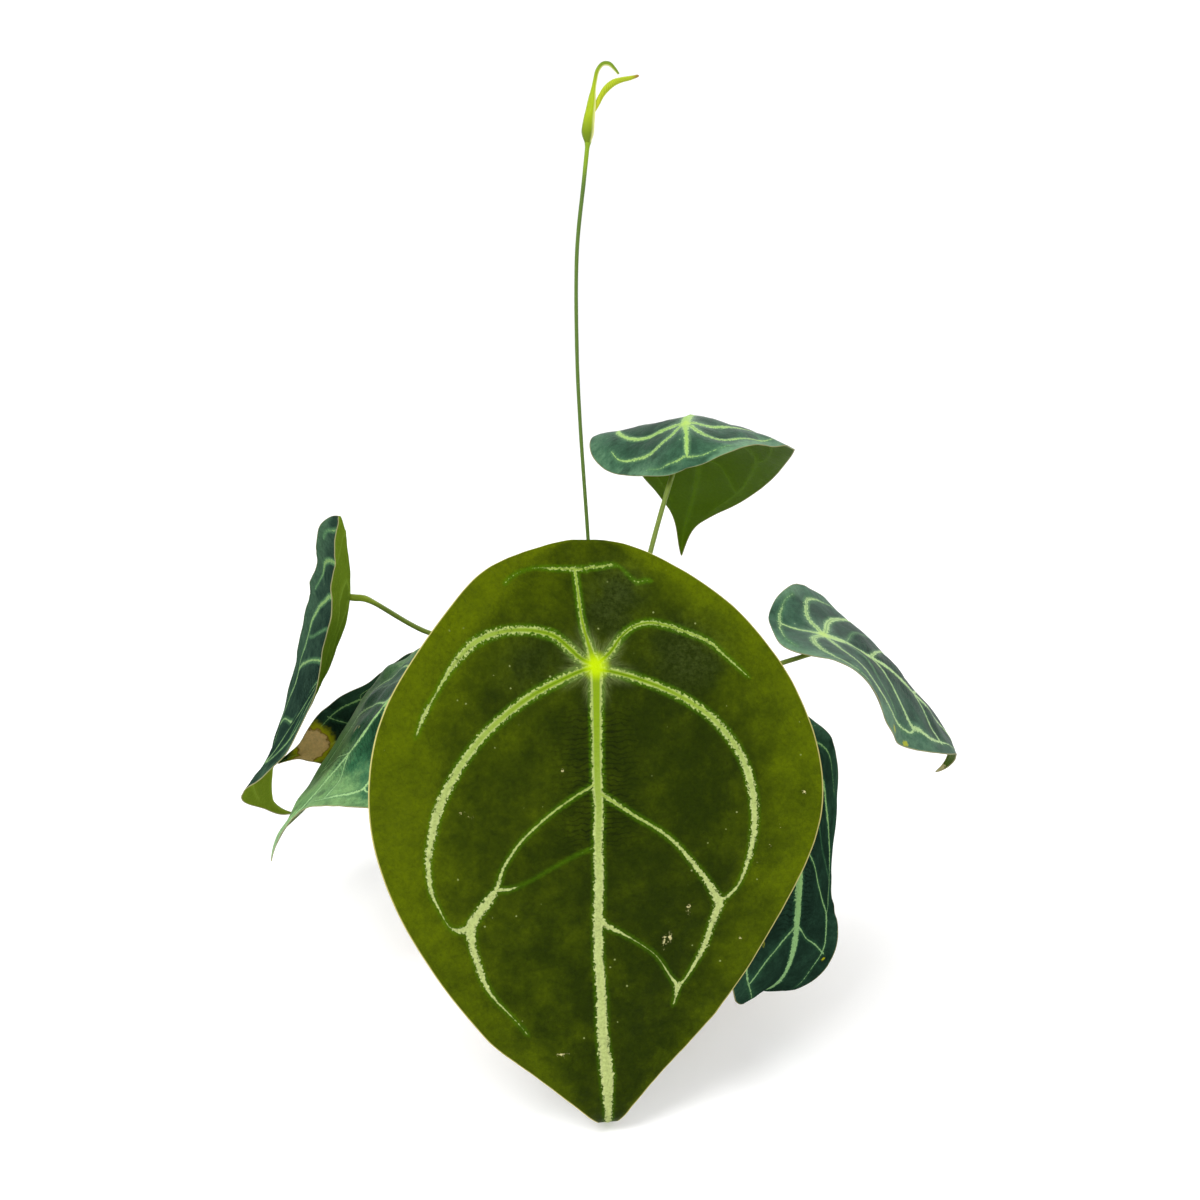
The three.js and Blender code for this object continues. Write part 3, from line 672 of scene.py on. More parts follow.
def half_width(leaf, side, angle):
    """Half the blade's width: a half ellipse's, times the outline's own smooth curve.

    A blade whose tip folds under is narrowed towards the fold, so the fold looks pointed.
    """
    width = leaf["width"] / 2 * np.sin(angle) * glide(OUTLINE_PLACES, OUTLINE[side], angle)
    if leaf["places"] is FOLDED_TIP_PLACES:
        place = -HEEL_SHARE + (1 + HEEL_SHARE) * (1 - np.cos(angle)) / 2
        width = width * glide(FOLD_NARROWS_AT, FOLD_NARROWS_TO, place)
    return np.maximum(width, THINNEST_TIP)


widest = [half_width(LEAVES["front"], side, OUTLINE_PLACES).max().round(1) for side in OUTLINE]
print("front blade, widest to the left and right:", widest, "mm")

# %% [markdown]
# ## Veins
#
# The veins make this plant. Each is a smooth line on the flat blade with its own half
# width along the way, and two things are stored for every point of the mesh: how far off
# the line it lies, signed, and how wide the line is there. A signed distance stays exact
# between the points, so the finish can draw a crisp vein of half a millimetre on a mesh
# that is three times coarser. A painted picture would have to be far larger for that.
#
# Points are (outwards from the midrib, along from the joint, half width). Where the half
# width is below nothing, no silver shows, only the brighter green that lines a vein.

# %% Veins of the front blade
FRONT_SPINE = [
    (-8, -50.5, 0.8), (-7, -38, 1.0), (-5.5, -20, 1.4), (-2, -6, 2.2), (0, 0, 3.6), (0, 10, 3.3),
    (-0.3, 30, 2.9), (-0.5, 45, 2.8), (-0.2, 60, 2.7), (0.5, 72, 2.5), (0, 90, 2.4),
    (0.4, 108, 2.4), (0, 125, 2.5), (-0.3, 147, 2.5), (0.2, 168, 2.6), (-0.2, 187, 2.8),
    (0.2, 200, 3.1), (0.7, 211, 3.4), (0.2, 222, 2.5), (0, 233, 1.9), (0, 252, 1.2), (0, 268, 0.5),
]
FRONT_VEINS = {
    "arc_low": dict(
        left=[(2, 1, 1.6), (7, 2, 1.8), (22, 8, 2.0), (40, 17.5, 2.0), (57.5, 31, 2.0),
              (70.7, 47.5, 2.1), (80, 66.5, 2.2), (83.5, 83.5, 1.8), (85, 94, 1.4),
              (83.2, 110.5, 0.9), (80.5, 116.5, 0.5), (74, 128, 0.4), (69, 129.5, 1.6), (64.5, 128.5, 2.0)],
        right=[(2, 2, 1.6), (8, 3, 1.7), (26, 8.5, 1.7), (44.5, 17, 1.8), (61, 29, 1.8),
               (74.8, 47, 1.9), (80.7, 65, 2.1), (81, 89.5, 1.6), (78, 104, 1.1), (72, 117, 0.7),
               (63, 124, 1.2)],
    ),
    "arc_high": dict(
        left=[(1, -1, 1.6), (8, -4, 2.0), (22, -15.5, 1.9), (43, -18, 1.6), (61, -13, 1.9),
              (74.5, -0.5, 1.1), (83, 12.5, 0.5), (86.5, 18.5, 1.0), (92, 31, 0.3)],
        right=[(1, -1, 1.6), (8, -7, 1.7), (14, -14.5, 1.3), (21.5, -20, 1.0), (30.5, -21.5, 1.2),
               (48.5, -16.5, 0.9), (60.5, -11, 0.8), (67, -5, 0.6), (80, 8, 0.2)],
    ),
    "lateral_low": dict(
        left=[(1, 59, 0.8), (13, 65.5, 0.6), (23.8, 73, 0.6), (33, 80.5, 0.6), (40.5, 88, 0.7),
              (45, 94, 0.7), (48.5, 100, 0.8), (51.5, 109, 1.2), (55.4, 115, 2.2), (60, 121, 2.3),
              (64.5, 128.5, 2.6), (64, 134, 2.1), (63, 140.5, 1.6), (60.5, 149.5, 1.5),
              (57.3, 158.5, 1.0), (53.6, 164.5, 0.6), (43.3, 176.5, 0.2), (38, 184, 0.2)],
        right=[(1, 64, 1.5), (4, 66, 1.3), (12.3, 71.5, 0.9), (21, 77.5, 0.8), (31.5, 84, 0.8),
               (40.4, 91.5, 0.9), (47.5, 100, 1.1), (54.5, 109, 1.4), (60, 118, 1.9), (63, 124, 2.6),
               (61.5, 129, 2.0), (58.5, 137.5, 1.6), (55, 148, 1.4), (49, 158.5, 0.9),
               (43.7, 166, 0.7), (40.4, 168.5, 1.5), (39.5, 173.5, 0.7), (37.7, 178, 0.3)],
    ),
    "lateral_tip": dict(
        left=[(1, 91, 0.2), (13.7, 95.5, -0.2), (26, 101.5, -0.25), (38.6, 107.5, -0.1),
              (44.7, 109.5, 0.7), (51, 110, 1.0)],
        right=[(1, 129, 1.8), (3, 131.5, 1.6), (11.5, 136.5, 0.7), (20.5, 142.5, 0.25),
               (29.5, 150, 0.25), (36.4, 161.5, 0.6), (40.4, 168, 1.2)],
    ),
    "heel_bar": dict(
        left=[(-3, -51, 0.8), (6, -50.3, 0.9), (22, -50.5, 0.5), (31, -50, -0.15), (40, -46, 0.05),
              (45, -41, -0.05)],
        right=[(-6, -50.8, 0.8), (2, -51.5, 0.7), (12, -52.5, 0.35), (16, -51, -0.5), (24, -43, 0.1),
               (28, -43.5, 0.15), (31, -43, -0.1)],
    ),
}

print("front blade:", len(FRONT_VEINS), "pairs of veins beside the midrib")

# %% Veins of the other blades
# They share one plan, for a blade of this size, and each takes its own share of it.
COMMON_LENGTH = 265
COMMON_WIDTH = 222
COMMON_SPINE = [
    (-3, -52, 0.9), (-4, -30, 1.5), (-2, -12, 2.0), (0, 0, 3.6), (0, 40, 3.0), (0, 80, 2.5),
    (0, 125, 2.2), (0, 170, 1.8), (0, 205, 1.5), (0, 232, 0.9), (0, 258, 0.4),
]
COMMON_VEINS = {
    "arc_low": [(2, 1, 1.8), (8, 3, 2.2), (26, 8.7, 2.2), (44, 17, 2.0), (60, 29, 2.0), (74, 47, 1.9),
                (80.6, 65, 1.9), (81.4, 80.5, 1.5), (80, 101.5, 1.1), (73, 118, 0.8), (65, 123, 1.2)],
    "arc_high": [(1, -1, 1.8), (8, -6, 2.2), (21, -17, 2.0), (40, -19, 1.8), (60, -12, 1.5),
                 (73, -1, 1.1), (83, 12.5, 0.6), (90, 30, 0.3)],
    "lateral_low": [(1, 60, 1.7), (12, 67, 1.3), (31, 79, 1.1), (50, 98, 1.3), (64, 121, 2.0),
                    (62, 130, 1.9), (58, 148, 1.6), (48, 166, 1.1), (36, 184, 0.6), (22, 206, 0.3)],
    "lateral_tip": [(1, 129, 1.6), (10, 136, 1.0), (20, 143, 0.8), (33, 155, 1.0), (45, 170, 1.1)],
    "heel_bar": [(-3, -51, 1.1), (8, -52, 0.9), (18, -51, 0.5), (32, -47, 0.1), (48, -38, 0.1)],
    "lateral_mid": [(1, 26, 0.5), (14, 33, 0.2), (32, 44, 0.15), (50, 60, 0.1), (64, 76, 0.1), (76, 88, 0.2)],
}

# How bold each blade's midrib and side veins are, against the common plan.
VEIN_BOLDNESS = {
    "upper_right": (1.4, 1.2), "left_upper": (0.9, 0.9), "left_spotted": (0.9, 0.9),
    "left_lower": (1.2, 1.0), "right": (1.2, 1.3), "right_lower": (1.7, 0.8),
}

# How ragged each vein's silver edge is.
VEIN_TEARS = {
    "spine": 0.8, "arc_low": 1.0, "arc_high": 1.2, "lateral_low": 0.9, "lateral_tip": 0.8,
    "lateral_mid": 0.8, "heel_bar": 2.2,
}
print("other blades:", len(COMMON_VEINS), "pairs of veins beside the midrib")

# %% Vein fields
VEIN_REACH = 12
PLACES_AT_ONCE = 8000


def vein_field(across, along, points):
    """Signed distance off a vein, its half width at the nearest place, for every flat place.

    Past an end the half width falls by as much as the place lies beyond it, and far off
    the vein it falls too, so that the line ends in a point and has no false twin.
    """
    path, _ = curve_points(np.array(points, float), per_span=6)
    knots, half = path[:, :2], path[:, 2]
    legs = np.diff(knots, axis=0)
    square = (legs**2).sum(1)
    flat = np.stack([across.ravel(), along.ravel()], -1)
    offset = np.empty(len(flat))
    width = np.empty(len(flat))
    for chunk in np.array_split(np.arange(len(flat)), max(1, len(flat) // PLACES_AT_ONCE)):
        away = flat[chunk, None] - knots[None, :-1]
        share = (away * legs).sum(-1) / square
        inside = np.clip(share, 0, 1)
        nearest = ((away - inside[..., None] * legs) ** 2).sum(-1).argmin(1)
        pick = np.arange(len(chunk)), nearest
        leg = legs[nearest]
        length = np.sqrt(square[nearest])
        over = np.abs(share[pick] - inside[pick]) * length
        offset[chunk] = (leg[:, 0] * away[pick][:, 1] - leg[:, 1] * away[pick][:, 0]) / length
        width[chunk] = half[nearest] + (half[nearest + 1] - half[nearest]) * inside[pick] - over
    width -= np.maximum(np.abs(offset) - VEIN_REACH, 0)
    return offset.reshape(across.shape), width.reshape(across.shape)


def sided_field(across, along, left, right):
    """One field for a pair of veins: each half of the blade follows the vein on its side."""
    mirrored = [(-x, *rest) for x, *rest in left]
    fields = [vein_field(across, along, points) for points in (mirrored, right)]
    (left_off, left_half), (right_off, right_half) = fields
    left = across < 0
    return np.where(left, -left_off, right_off), np.where(left, left_half, right_half)


off_spine, spine_half = vein_field(np.array([1.0]), np.array([100.0]), FRONT_SPINE)
print("1 mm right of the midrib:", off_spine.round(2), "off it, where it is", spine_half.round(2))

# %% The veins of one blade
WANDER = 1.3
WANDER_FROM = 30
SMALLEST_BOLD = 0.3
BOLD_WITH_SIZE = 0.65


def blade_veins(name, leaf, across, along):
    """All vein fields of a blade by name, as (signed distance, half width) in millimetres.

    A vein of the common plan wanders at random, the more the further from the midrib. It
    narrows less than the blade shrinks.
    """
    if name == "front":
        fields = {"spine": vein_field(across, along, FRONT_SPINE)}
        for vein, sides in FRONT_VEINS.items():
            fields[vein] = sided_field(across, along, sides["left"], sides["right"])
        return fields
    size = leaf["length"] / COMMON_LENGTH
    wide = leaf["width"] / leaf["length"] * COMMON_LENGTH / COMMON_WIDTH
    midrib_bold, side_bold = VEIN_BOLDNESS[name]
    random = np.random.default_rng(sum(map(ord, name)))

    def fitted(points, bold):
        """A vein of the common plan at this blade's size, with its own wander."""
        x, s, half = np.array(points, float).T
        wander = random.normal(0, WANDER, (2, len(x))) * ramp(0, WANDER_FROM, np.abs(x))
        half = half * (SMALLEST_BOLD + BOLD_WITH_SIZE * size) * bold
        return list(zip((x + wander[0]) * size * wide, (s + wander[1]) * size, half))

    fields = {"spine": vein_field(across, along, fitted(COMMON_SPINE, midrib_bold))}
    for vein, points in COMMON_VEINS.items():
        sides = fitted(points, side_bold), fitted(points, side_bold)
        fields[vein] = sided_field(across, along, *sides)
    return fields


print("veins wander by about", WANDER, "mm")

# %% [markdown]
# ## The relief of a blade
#
# Between its veins a blade is slightly quilted: the green swells by up to a millimetre
# and the veins lie in shallow valleys, each with a low rounded ridge along its floor. On
# the underside the same veins stand out. The margin waves a little. All this is real
# shape, worked out on the same grid, so it shows in every light and in the mesh.
#
# A dent is (across, along, reach, depth). A spot is (kind, across, along, width, length).

# %% Dents and spots
MARKS = {
    "front": dict(
        dents=[(13, -40, 13, 3.4), (6, -24, 10, 2.6), (50, -4, 17, 3.8), (-34, -2, 15, 1.6),
               (70, 18, 12, -1.6)],
        spots=[("scar", -21.6, 196, 2.6, 0.8), ("scar", 108, 67.5, 1.0, 1.0), ("scar", 95, 84.5, 0.9, 0.7),
               ("scar", 89.7, 95, 0.8, 0.9), ("scar", 74, 144, 0.8, 0.8), ("scar", 34, 143, 0.7, 2.4),
               ("scar", 37, 141, 0.7, 1.9), ("scar", 46.5, 126, 0.7, 2.0), ("scar", -18.6, 51, 0.9, 1.0),
               ("scar", -69, 70, 1.2, 0.7), ("scar", -64, 72, 0.7, 0.9)],
    ),
    "upper_right": dict(dents=[(-22, -14, 8, 0.8)], spots=[]),
    "left_upper": dict(dents=[], spots=[]),
    "left_spotted": dict(dents=[], spots=[("dead", -2, 86, 13, 10), ("dead", 9, 95, 7, 8)]),
    "left_lower": dict(dents=[], spots=[("scar", -20, 68, 3.2, 2.2), ("scar", -15, 64, 1.4, 1.2)]),
    "right": dict(
        dents=[(-14, -18, 7, 0.8)],
        spots=[("pale", -56.5, 48, 2.0, 2.4), ("pale", -54, 64, 2.0, 2.2), ("scar", 0, 149, 4, 7)],
    ),
    "right_lower": dict(dents=[], spots=[("pale", 30, 120, 1.2, 1.2), ("pale", -24, 96, 1.0, 1.2)]),
}
SPOT_KINDS = ["dead", "pale", "scar"]
FAR_OFF = 20.0


def dent_field(name, across, along):
    """Depths of the blade's dents: round bowls that fade as a bell curve."""
    bowl = np.zeros_like(across)
    for x, s, reach, depth in MARKS[name]["dents"]:
        bowl = bowl + depth * np.exp(-(((across - x) ** 2 + (along - s) ** 2) / reach**2))
    return bowl


def spot_field(name, across, along):
    """How far inside the dead, pale and scarred spots each place lies, in millimetres."""
    depth = np.full((*across.shape, len(SPOT_KINDS)), -FAR_OFF)
    for kind, x, s, wide, long in MARKS[name]["spots"]:
        round_way = np.hypot((across - x) / wide, (along - s) / long)
        inside = (1 - round_way) * min(wide, long)
        layer = SPOT_KINDS.index(kind)
        depth[..., layer] = np.maximum(depth[..., layer], inside)
    return depth


print("spots:", sum(len(marks["spots"]) for marks in MARKS.values()))

# %% Quilting
QUILT = dict(swell=0.8, swell_reach=11, valley=0.36, ridge=0.22, under_ridge=0.5)
BOLDEST = 3
UNVEINED = 30.0


def bell(apart, reach):
    """1 in the middle, falling off as a bell curve over reach."""
    return np.exp(-((apart / reach) ** 2))


def quilt(fields):
    """Heights of the upper face and depths of the under face that the veins bring.

    The valley and the ridge of a vein, and its ridge below, are bell curves across it, as
    high as the vein is bold. The green swells by 1 minus a bell curve of its way to the
    nearest vein, and a vein that is all but gone counts as far off.
    """
    off = np.full(next(iter(fields.values()))[0].shape, UNVEINED)
    top = np.zeros_like(off)
    under = np.zeros_like(off)
    for distance, half in fields.values():
        bold = np.clip(half, 0, BOLDEST)
        apart = np.abs(distance)
        off = np.minimum(off, apart - bold + FAR_OFF * ramp(0.8, 0, half))
        valley = QUILT["valley"] * bold * bell(apart, bold + 2.4)
        ridge = QUILT["ridge"] * bold * bell(apart, 0.75 * bold + 0.2)
        top = np.minimum(top, ridge - valley)
        under = np.maximum(under, QUILT["under_ridge"] * bold * bell(apart, 0.8 * bold + 0.5))
    swell = 1 - bell(np.maximum(off, 0), QUILT["swell_reach"])
    return top + QUILT["swell"] * swell, under


print("the green swells by", QUILT["swell"], "mm over", QUILT["swell_reach"], "mm")

# %% The whole relief
HILLS = dict(broad=0.7, broad_size=55, fine=0.12, fine_size=13, frill=0.35, frill_size=45)


def blade_relief(name, leaf, across, along, share, edge, fields):
    """All heights added to the upper face: the quilt, broad hills, margin waves and dents.

    The hills and dents calm down at the joint, where the petiole holds the blade, and all
    relief dies out where the blade is narrow.
    """
    top, under = quilt(fields)
    seed = sum(map(ord, name))
    flat = np.stack([across, along], -1)
    size = leaf["length"] / COMMON_LENGTH
    broad = HILLS["broad"] * waves(flat, HILLS["broad_size"] * size, seed)
    fine = HILLS["fine"] * waves(flat, HILLS["fine_size"], seed + 1)
    frill = HILLS["frill"] * waves(flat, HILLS["frill_size"] * size, seed + 2)
    frill = frill * ramp(0.55, 1, np.abs(share))
    calm = ramp(2, 16, np.hypot(across, along))
    narrow = ramp(1, 9, edge.max(axis=1, keepdims=True))
    hills = (broad + fine) * (0.4 + 0.6 * size)
    lift = (hills + frill - dent_field(name, across, along)) * calm + top * size
    return lift * narrow, under * narrow


print("broad hills of about", HILLS["broad"], "mm,", HILLS["broad_size"], "mm apart")

# %% [markdown]
# ## The finish of a blade
#
# One finish serves all blades, with a palette for each. On the upper face the green
# deepens between the veins and brightens beside them. A vein is silvery with ragged
# edges, because the pale cells follow the grain of the leaf, and near the joint it has a
# yellow-green core. The rim is a thin pale line, partly the margin's own colour and partly
# a painted highlight of the lit edge. The blade is satiny, a little velvety, and a glossy
# coat would veil its dark greens in white surroundings. So it gets next to no mirror light,
# and a fine grain in the bump; its sheen is painted into the colour instead, as a pale
# grey-green in the dents and in streaks round the joint.
#
# A palette names the colours by where they lie, from the dark green between the veins to
# the bright hub at the joint.

# %% Palettes
# painted_sheen is a pale grey-green painted in as the blade's satin sheen.
OLIVE = dict(
    deep=colour(30, 41, 0), body=colour(54, 66, 0), bright=colour(75, 88, 0),
    beside=colour(60, 98, 0), silver=colour(162, 172, 110), core=colour(114, 142, 2),
    hub=colour(176, 204, 2), under=colour(62, 82, 10), under_vein=colour(92, 114, 30),
    rim=colour(196, 186, 116), painted_sheen=colour(124, 138, 80), gloss=0.03, blotch=0.0,
)
# The slate palettes' grey-blue greens are partly the leaves' own dark green and partly painted satin
# reflection of the white surroundings.
SLATE = dict(
    deep=colour(32, 60, 44), body=colour(56, 92, 68), bright=colour(100, 140, 104),
    beside=colour(80, 120, 80), silver=colour(150, 182, 120), core=colour(152, 190, 94),
    hub=colour(170, 202, 92), under=colour(64, 90, 0), under_vein=colour(76, 106, 2),
    rim=colour(150, 146, 104), painted_sheen=colour(120, 150, 124), gloss=0.06, blotch=0.75,
)
TEAL = dict(
    SLATE, deep=colour(26, 60, 40), body=colour(50, 98, 66), bright=colour(124, 164, 104),
    silver=colour(150, 190, 134), core=colour(160, 200, 124), blotch=0.45,
)
INK = dict(
    SLATE, deep=colour(22, 40, 30), body=colour(36, 62, 46), bright=colour(58, 88, 66),
    beside=colour(44, 80, 52), silver=colour(120, 156, 104), core=colour(128, 168, 98), gloss=0.0,
)
SATIN = dict(
    SLATE, deep=colour(34, 58, 46), body=colour(62, 94, 74), bright=colour(96, 130, 100),
    silver=colour(160, 186, 136), core=colour(164, 194, 124), hub=colour(178, 206, 116),
)
# Its paler under face is partly the under face's own lighter green and partly painted light shining through
# the thin blade.
PALE_UNDER = dict(
    SLATE, deep=colour(28, 46, 38), body=colour(46, 68, 54), bright=colour(66, 94, 70),
    silver=colour(116, 146, 100), core=colour(122, 156, 88), gloss=0.0,
    under=colour(98, 122, 30), under_vein=colour(126, 152, 50),
)
PALETTES = {
    "front": OLIVE, "upper_right": SLATE, "left_upper": PALE_UNDER, "left_spotted": INK,
    "left_lower": TEAL, "right": SATIN, "right_lower": INK,
}
# Painted light: the named blade grows lighter towards its tip, where its bent surface catches the light.
PAINTED_TIP_LIGHT = {"left_lower": 0.8}
DEAD_BROWN = colour(216, 182, 122)
DEAD_EDGE = colour(128, 92, 40)
HALO_YELLOW = colour(176, 176, 18)
SCAR_TAN = colour(204, 196, 140)
HUB_REACH = 5
FRONT_HUB_REACH = 9
print("palettes:", {name: round(palette["body"][1], 3) for name, palette in PALETTES.items()})

# %% Vein masks
RAGGED = 6.0


def vein_masks(made, vein_names, grain):
    """Where a blade is veined, from 0 to 1, and how ragged the grain tears the edges.

    A point lies inside a vein by its half width less its distance off the line. veil is
    the silver cover, core the middle of it, beside the green that lines it, sheen_band a
    wide soft band where painted sheen goes, and seam a fine line along the middle of the
    side veins.
    """
    ragged = (grain - 0.5) * RAGGED
    masks = dict(veil=0.0, core=0.0, beside=0.0, sheen_band=0.0, seam=0.0)
    for vein in vein_names:
        off, half, torn = made.parts(made.field(vein))
        apart = abs(off)
        inside = half - apart
        frayed = inside - 0.1 + ragged * torn * (half.step(0.4, 1.8) + 0.3)
        found = dict(
            veil=frayed.step(-0.15, 0.3),
            core=(half * 0.6 - apart + ragged * 0.2).step(-0.3, 0.6),
            beside=(inside + ragged * 0.3).step(-2.4, 0.0),
            sheen_band=(inside + ragged * 0.6).step(-6.0, -0.5),
        )
        if vein != "spine":
            found["seam"] = (0.35 - apart).step(-0.2, 0.25)
        masks.update({mask: cover.most(masks[mask]) for mask, cover in found.items()})
    return masks, ragged


print("masks at a vein: veil, core, beside, fuzz, seam")

# %% The green between the veins
# strength is how much the fine creases are darkened, as shade lying in them.
CREASES = dict(per_mm=2.3, wander=16.0, strength=0.45)


def fine_lines(made, flat):
    """The net of smallest veins, and the fine creases across the blade beside the midrib."""
    across, along, _ = made.parts(flat)
    bent_way = made.noise(flat, 0.2, 3.0) * 9.0
    warped = made.node("VectorMath", {0: flat, 1: bent_way}, operation="ADD")
    web = made.node("TexVoronoi", {"Vector": warped, "Scale": 0.28}, feature="DISTANCE_TO_EDGE")
    ripple = (along * CREASES["per_mm"] + made.noise(flat, 0.14, 2.0) * CREASES["wander"]).sine()
    belt = abs(across).step(30, 5) * along.step(12, 30) * along.step(105, 80)
    return web.step(0.12, 0.02), ripple.step(0.35, 1.0) * belt


def green(made, flat, palette, tone, lining):
    """Deep green in the middle, brighter outwards, in soft patches, and bright at the veins."""
    patches = made.noise(flat, 0.05, 5.0, 0.65)
    lamina = made.mix(palette["deep"], palette["body"], (tone + patches * 1.4 - 0.7).step(0.0, 0.62))
    lamina = made.mix(lamina, palette["bright"], (tone + patches * 1.7 - 0.85).step(0.4, 1.15))
    if palette["blotch"]:
        blotch = made.noise(flat, 0.055, 2.0, 0.4).step(0.56, 0.68)
        lamina = made.mix(lamina, palette["deep"], blotch * palette["blotch"])
    return made.mix(lamina, palette["beside"], lining)


print("creases:", round(CREASES["per_mm"] / (2 * math.pi), 2), "in each millimetre")

# %% Silver, painted sheen and specks


def hairs(made, across, along, from_joint):
    """Streaks of painted sheen that fan out from the joint: clouds on (angle, distance), drawn out long."""
    angle = made.maths("ARCTAN2", across, along)
    fanned = made.node("CombineXYZ", {0: angle * 14.0, 1: from_joint * 0.12, 2: 0.0})
    return made.noise(fanned, 1.0, 3.0, 0.7).step(0.25, 0.75)


def specks(made, flat, ragged):
    """A few pale dots, where the middle of a cell falls in a patch that is picked."""
    middle = made.node("TexVoronoi", {"Vector": flat, "Scale": 0.16}, out="Distance")
    picked = made.noise(flat, 0.05, 1.0).step(0.54, 0.6)
    return (middle + ragged * 0.03).step(0.1, 0.05) * picked


def spotted(made, flat, ragged, skin):
    """The skin with its marks: a dead patch with a brown edge and yellow ring, and scars."""
    dead, pale, scar = made.parts(made.field("spots"))
    dead = dead + (made.noise(flat, 0.28, 3.0, 0.6) - 0.5) * 6.0
    halo = dead.step(-6.5, -1.0).most((pale + ragged * 0.6).step(-0.6, 0.4) * 0.8)
    skin = made.mix(skin, HALO_YELLOW, halo * 0.85)
    skin = made.mix(skin, DEAD_EDGE, dead.step(-1.2, 0.0) * 0.9)
    dead_tone = made.scaled(DEAD_BROWN[:3], made.noise(flat, 0.4, 4.0, 0.7) * 0.9 + 0.55)
    skin = made.mix(skin, dead_tone, dead.step(-0.3, 1.2))
    return made.mix(skin, SCAR_TAN, (scar - 0.2 + ragged).step(-0.3, 0.4) * 0.85)


print("spots are of the kinds", SPOT_KINDS)

# %% Blade finish


def blade_finish(name, palette, vein_names, hub_reach):
    """Upper face, under face, veins, rim and spots in one material, mixed by stored fields."""
    made = Finish("blade_" + name, Specular_IOR_Level=palette["gloss"])
    flat = made.field("flat")
    across, along, face = made.parts(flat)
    tone, edge, dent_sheen = made.parts(made.field("tone"))
    from_joint = made.node("VectorMath", {0: flat}, out="Value", operation="LENGTH")
    near = from_joint.step(130, 16)
    grain = made.noise(flat, 0.75, 4.0, 0.75)
    mottle = made.noise(flat, 0.5, 3.0, 0.65)
    masks, ragged = vein_masks(made, vein_names, grain)
    veil = masks["veil"]
    threads, creases = fine_lines(made, flat)

    lamina = green(made, flat, palette, tone, masks["beside"] * (near * 0.35 + 0.42))
    # Random tone, with painted shade in the fine creases.
    shade = mottle * 0.9 + grain * 0.5 + 0.33 - threads * 0.09 - creases * CREASES["strength"]
    lamina = made.scaled(lamina, shade)
    # Painted sheen: a pale grey-green in streaks round the joint and a satin grey in the dents.
    sheen_band = masks["sheen_band"] * from_joint.step(26, 6) * hairs(made, across, along, from_joint) * 0.7
    lamina = made.mix(lamina, palette["painted_sheen"], sheen_band + dent_sheen * mottle.step(0.3, 0.8) * 0.12)

    silver = made.mix(palette["silver"], palette["core"], near * 0.35)
    upper = made.mix(lamina, made.scaled(silver, grain * 1.5 + 0.25), veil)
    upper = made.mix(upper, palette["core"], masks["core"] * veil * (near * 0.82 + 0.12))
    upper = made.mix(upper, palette["beside"], masks["seam"] * veil * from_joint.step(60, 20) * 0.6)
    upper = made.mix(upper, palette["hub"], from_joint.step(hub_reach, 2) * 0.9)
    upper = made.mix(upper, palette["silver"], specks(made, flat, ragged) * 0.55)

    under_veins = masks["beside"] * 0.25 + veil * 0.5 + threads * 0.2
    lower = made.scaled(palette["under"][:3], mottle * 0.4 + 0.8)
    lower = made.mix(lower, palette["under_vein"], under_veins)
    skin = spotted(made, flat, ragged, made.mix(lower, upper, face))
    # The pale rim is partly the margin's own pale colour and partly a painted highlight along the lit edge.
    skin = made.mix(skin, palette["rim"], edge.step(0.8, 0.3) * 0.85)

    strands = (along * 1.15 + made.noise(flat, 0.09, 2.0) * 9.0 + grain * 1.6).sine()
    cells = made.noise(flat, 2.6, 2.0, 0.6)
    raised = cells * 0.08 + mottle * 0.18 + strands * 0.02 + veil * 0.1
    sunk = threads * 0.06 + creases * 0.1
    return made.finish(
        Base_Color=skin,
        Roughness=mottle * 0.12 - veil * 0.04 + 0.4,
        Normal=made.bump(raised - sunk, MM),
    )


print("blade finishes read the fields flat, tone, spots and one for each vein")

# %% [markdown]
# ## Make the blades
#
# The grid of a blade runs along the midrib by equal angles of a half circle, which puts
# more rows near the heel and the tip, where the outline turns fastest. Everything that the
# finish needs is stored on the points: the flat place, the tone of the green, the spots
# and the veins. A picture wrapped over the blade would stretch at both ends.

# %% Tones of a blade
# left makes the left side lighter, as painted light from that side, and dent_shade_per_mm darkens the dents
# as painted shade.
TONE = dict(least=0.14, front=0.75, other=0.45, heel=0.3, left=0.16, dent_shade_per_mm=0.1)
DEEPEST_DENT = 4


def blade_tone(name, leaf, across, along, share):
    """How bright the green is, from 0 to 1: more at the margin and the heel.

    Lighter on the left and towards a few tips is painted light, and darker in the dents
    is painted shade.
    """
    place = along / leaf["length"]
    margin = ramp(0.5, 0.98, np.abs(share)) * (1 - 0.65 * ramp(0.25, 0.8, place))
    tone = TONE["least"] + TONE["front" if name == "front" else "other"] * margin
    tone = tone + TONE["heel"] * ramp(0.02, -0.2, place) + TONE["left"] * ramp(10, -40, across)
    tone = tone + PAINTED_TIP_LIGHT.get(name, 0) * ramp(0.3, 0.62, place)
    return np.clip(tone - TONE["dent_shade_per_mm"] * dent_field(name, across, along), 0, 1)


print("margins are brighter by", TONE["front"], "in front and", TONE["other"], "elsewhere")

# %% Make a blade


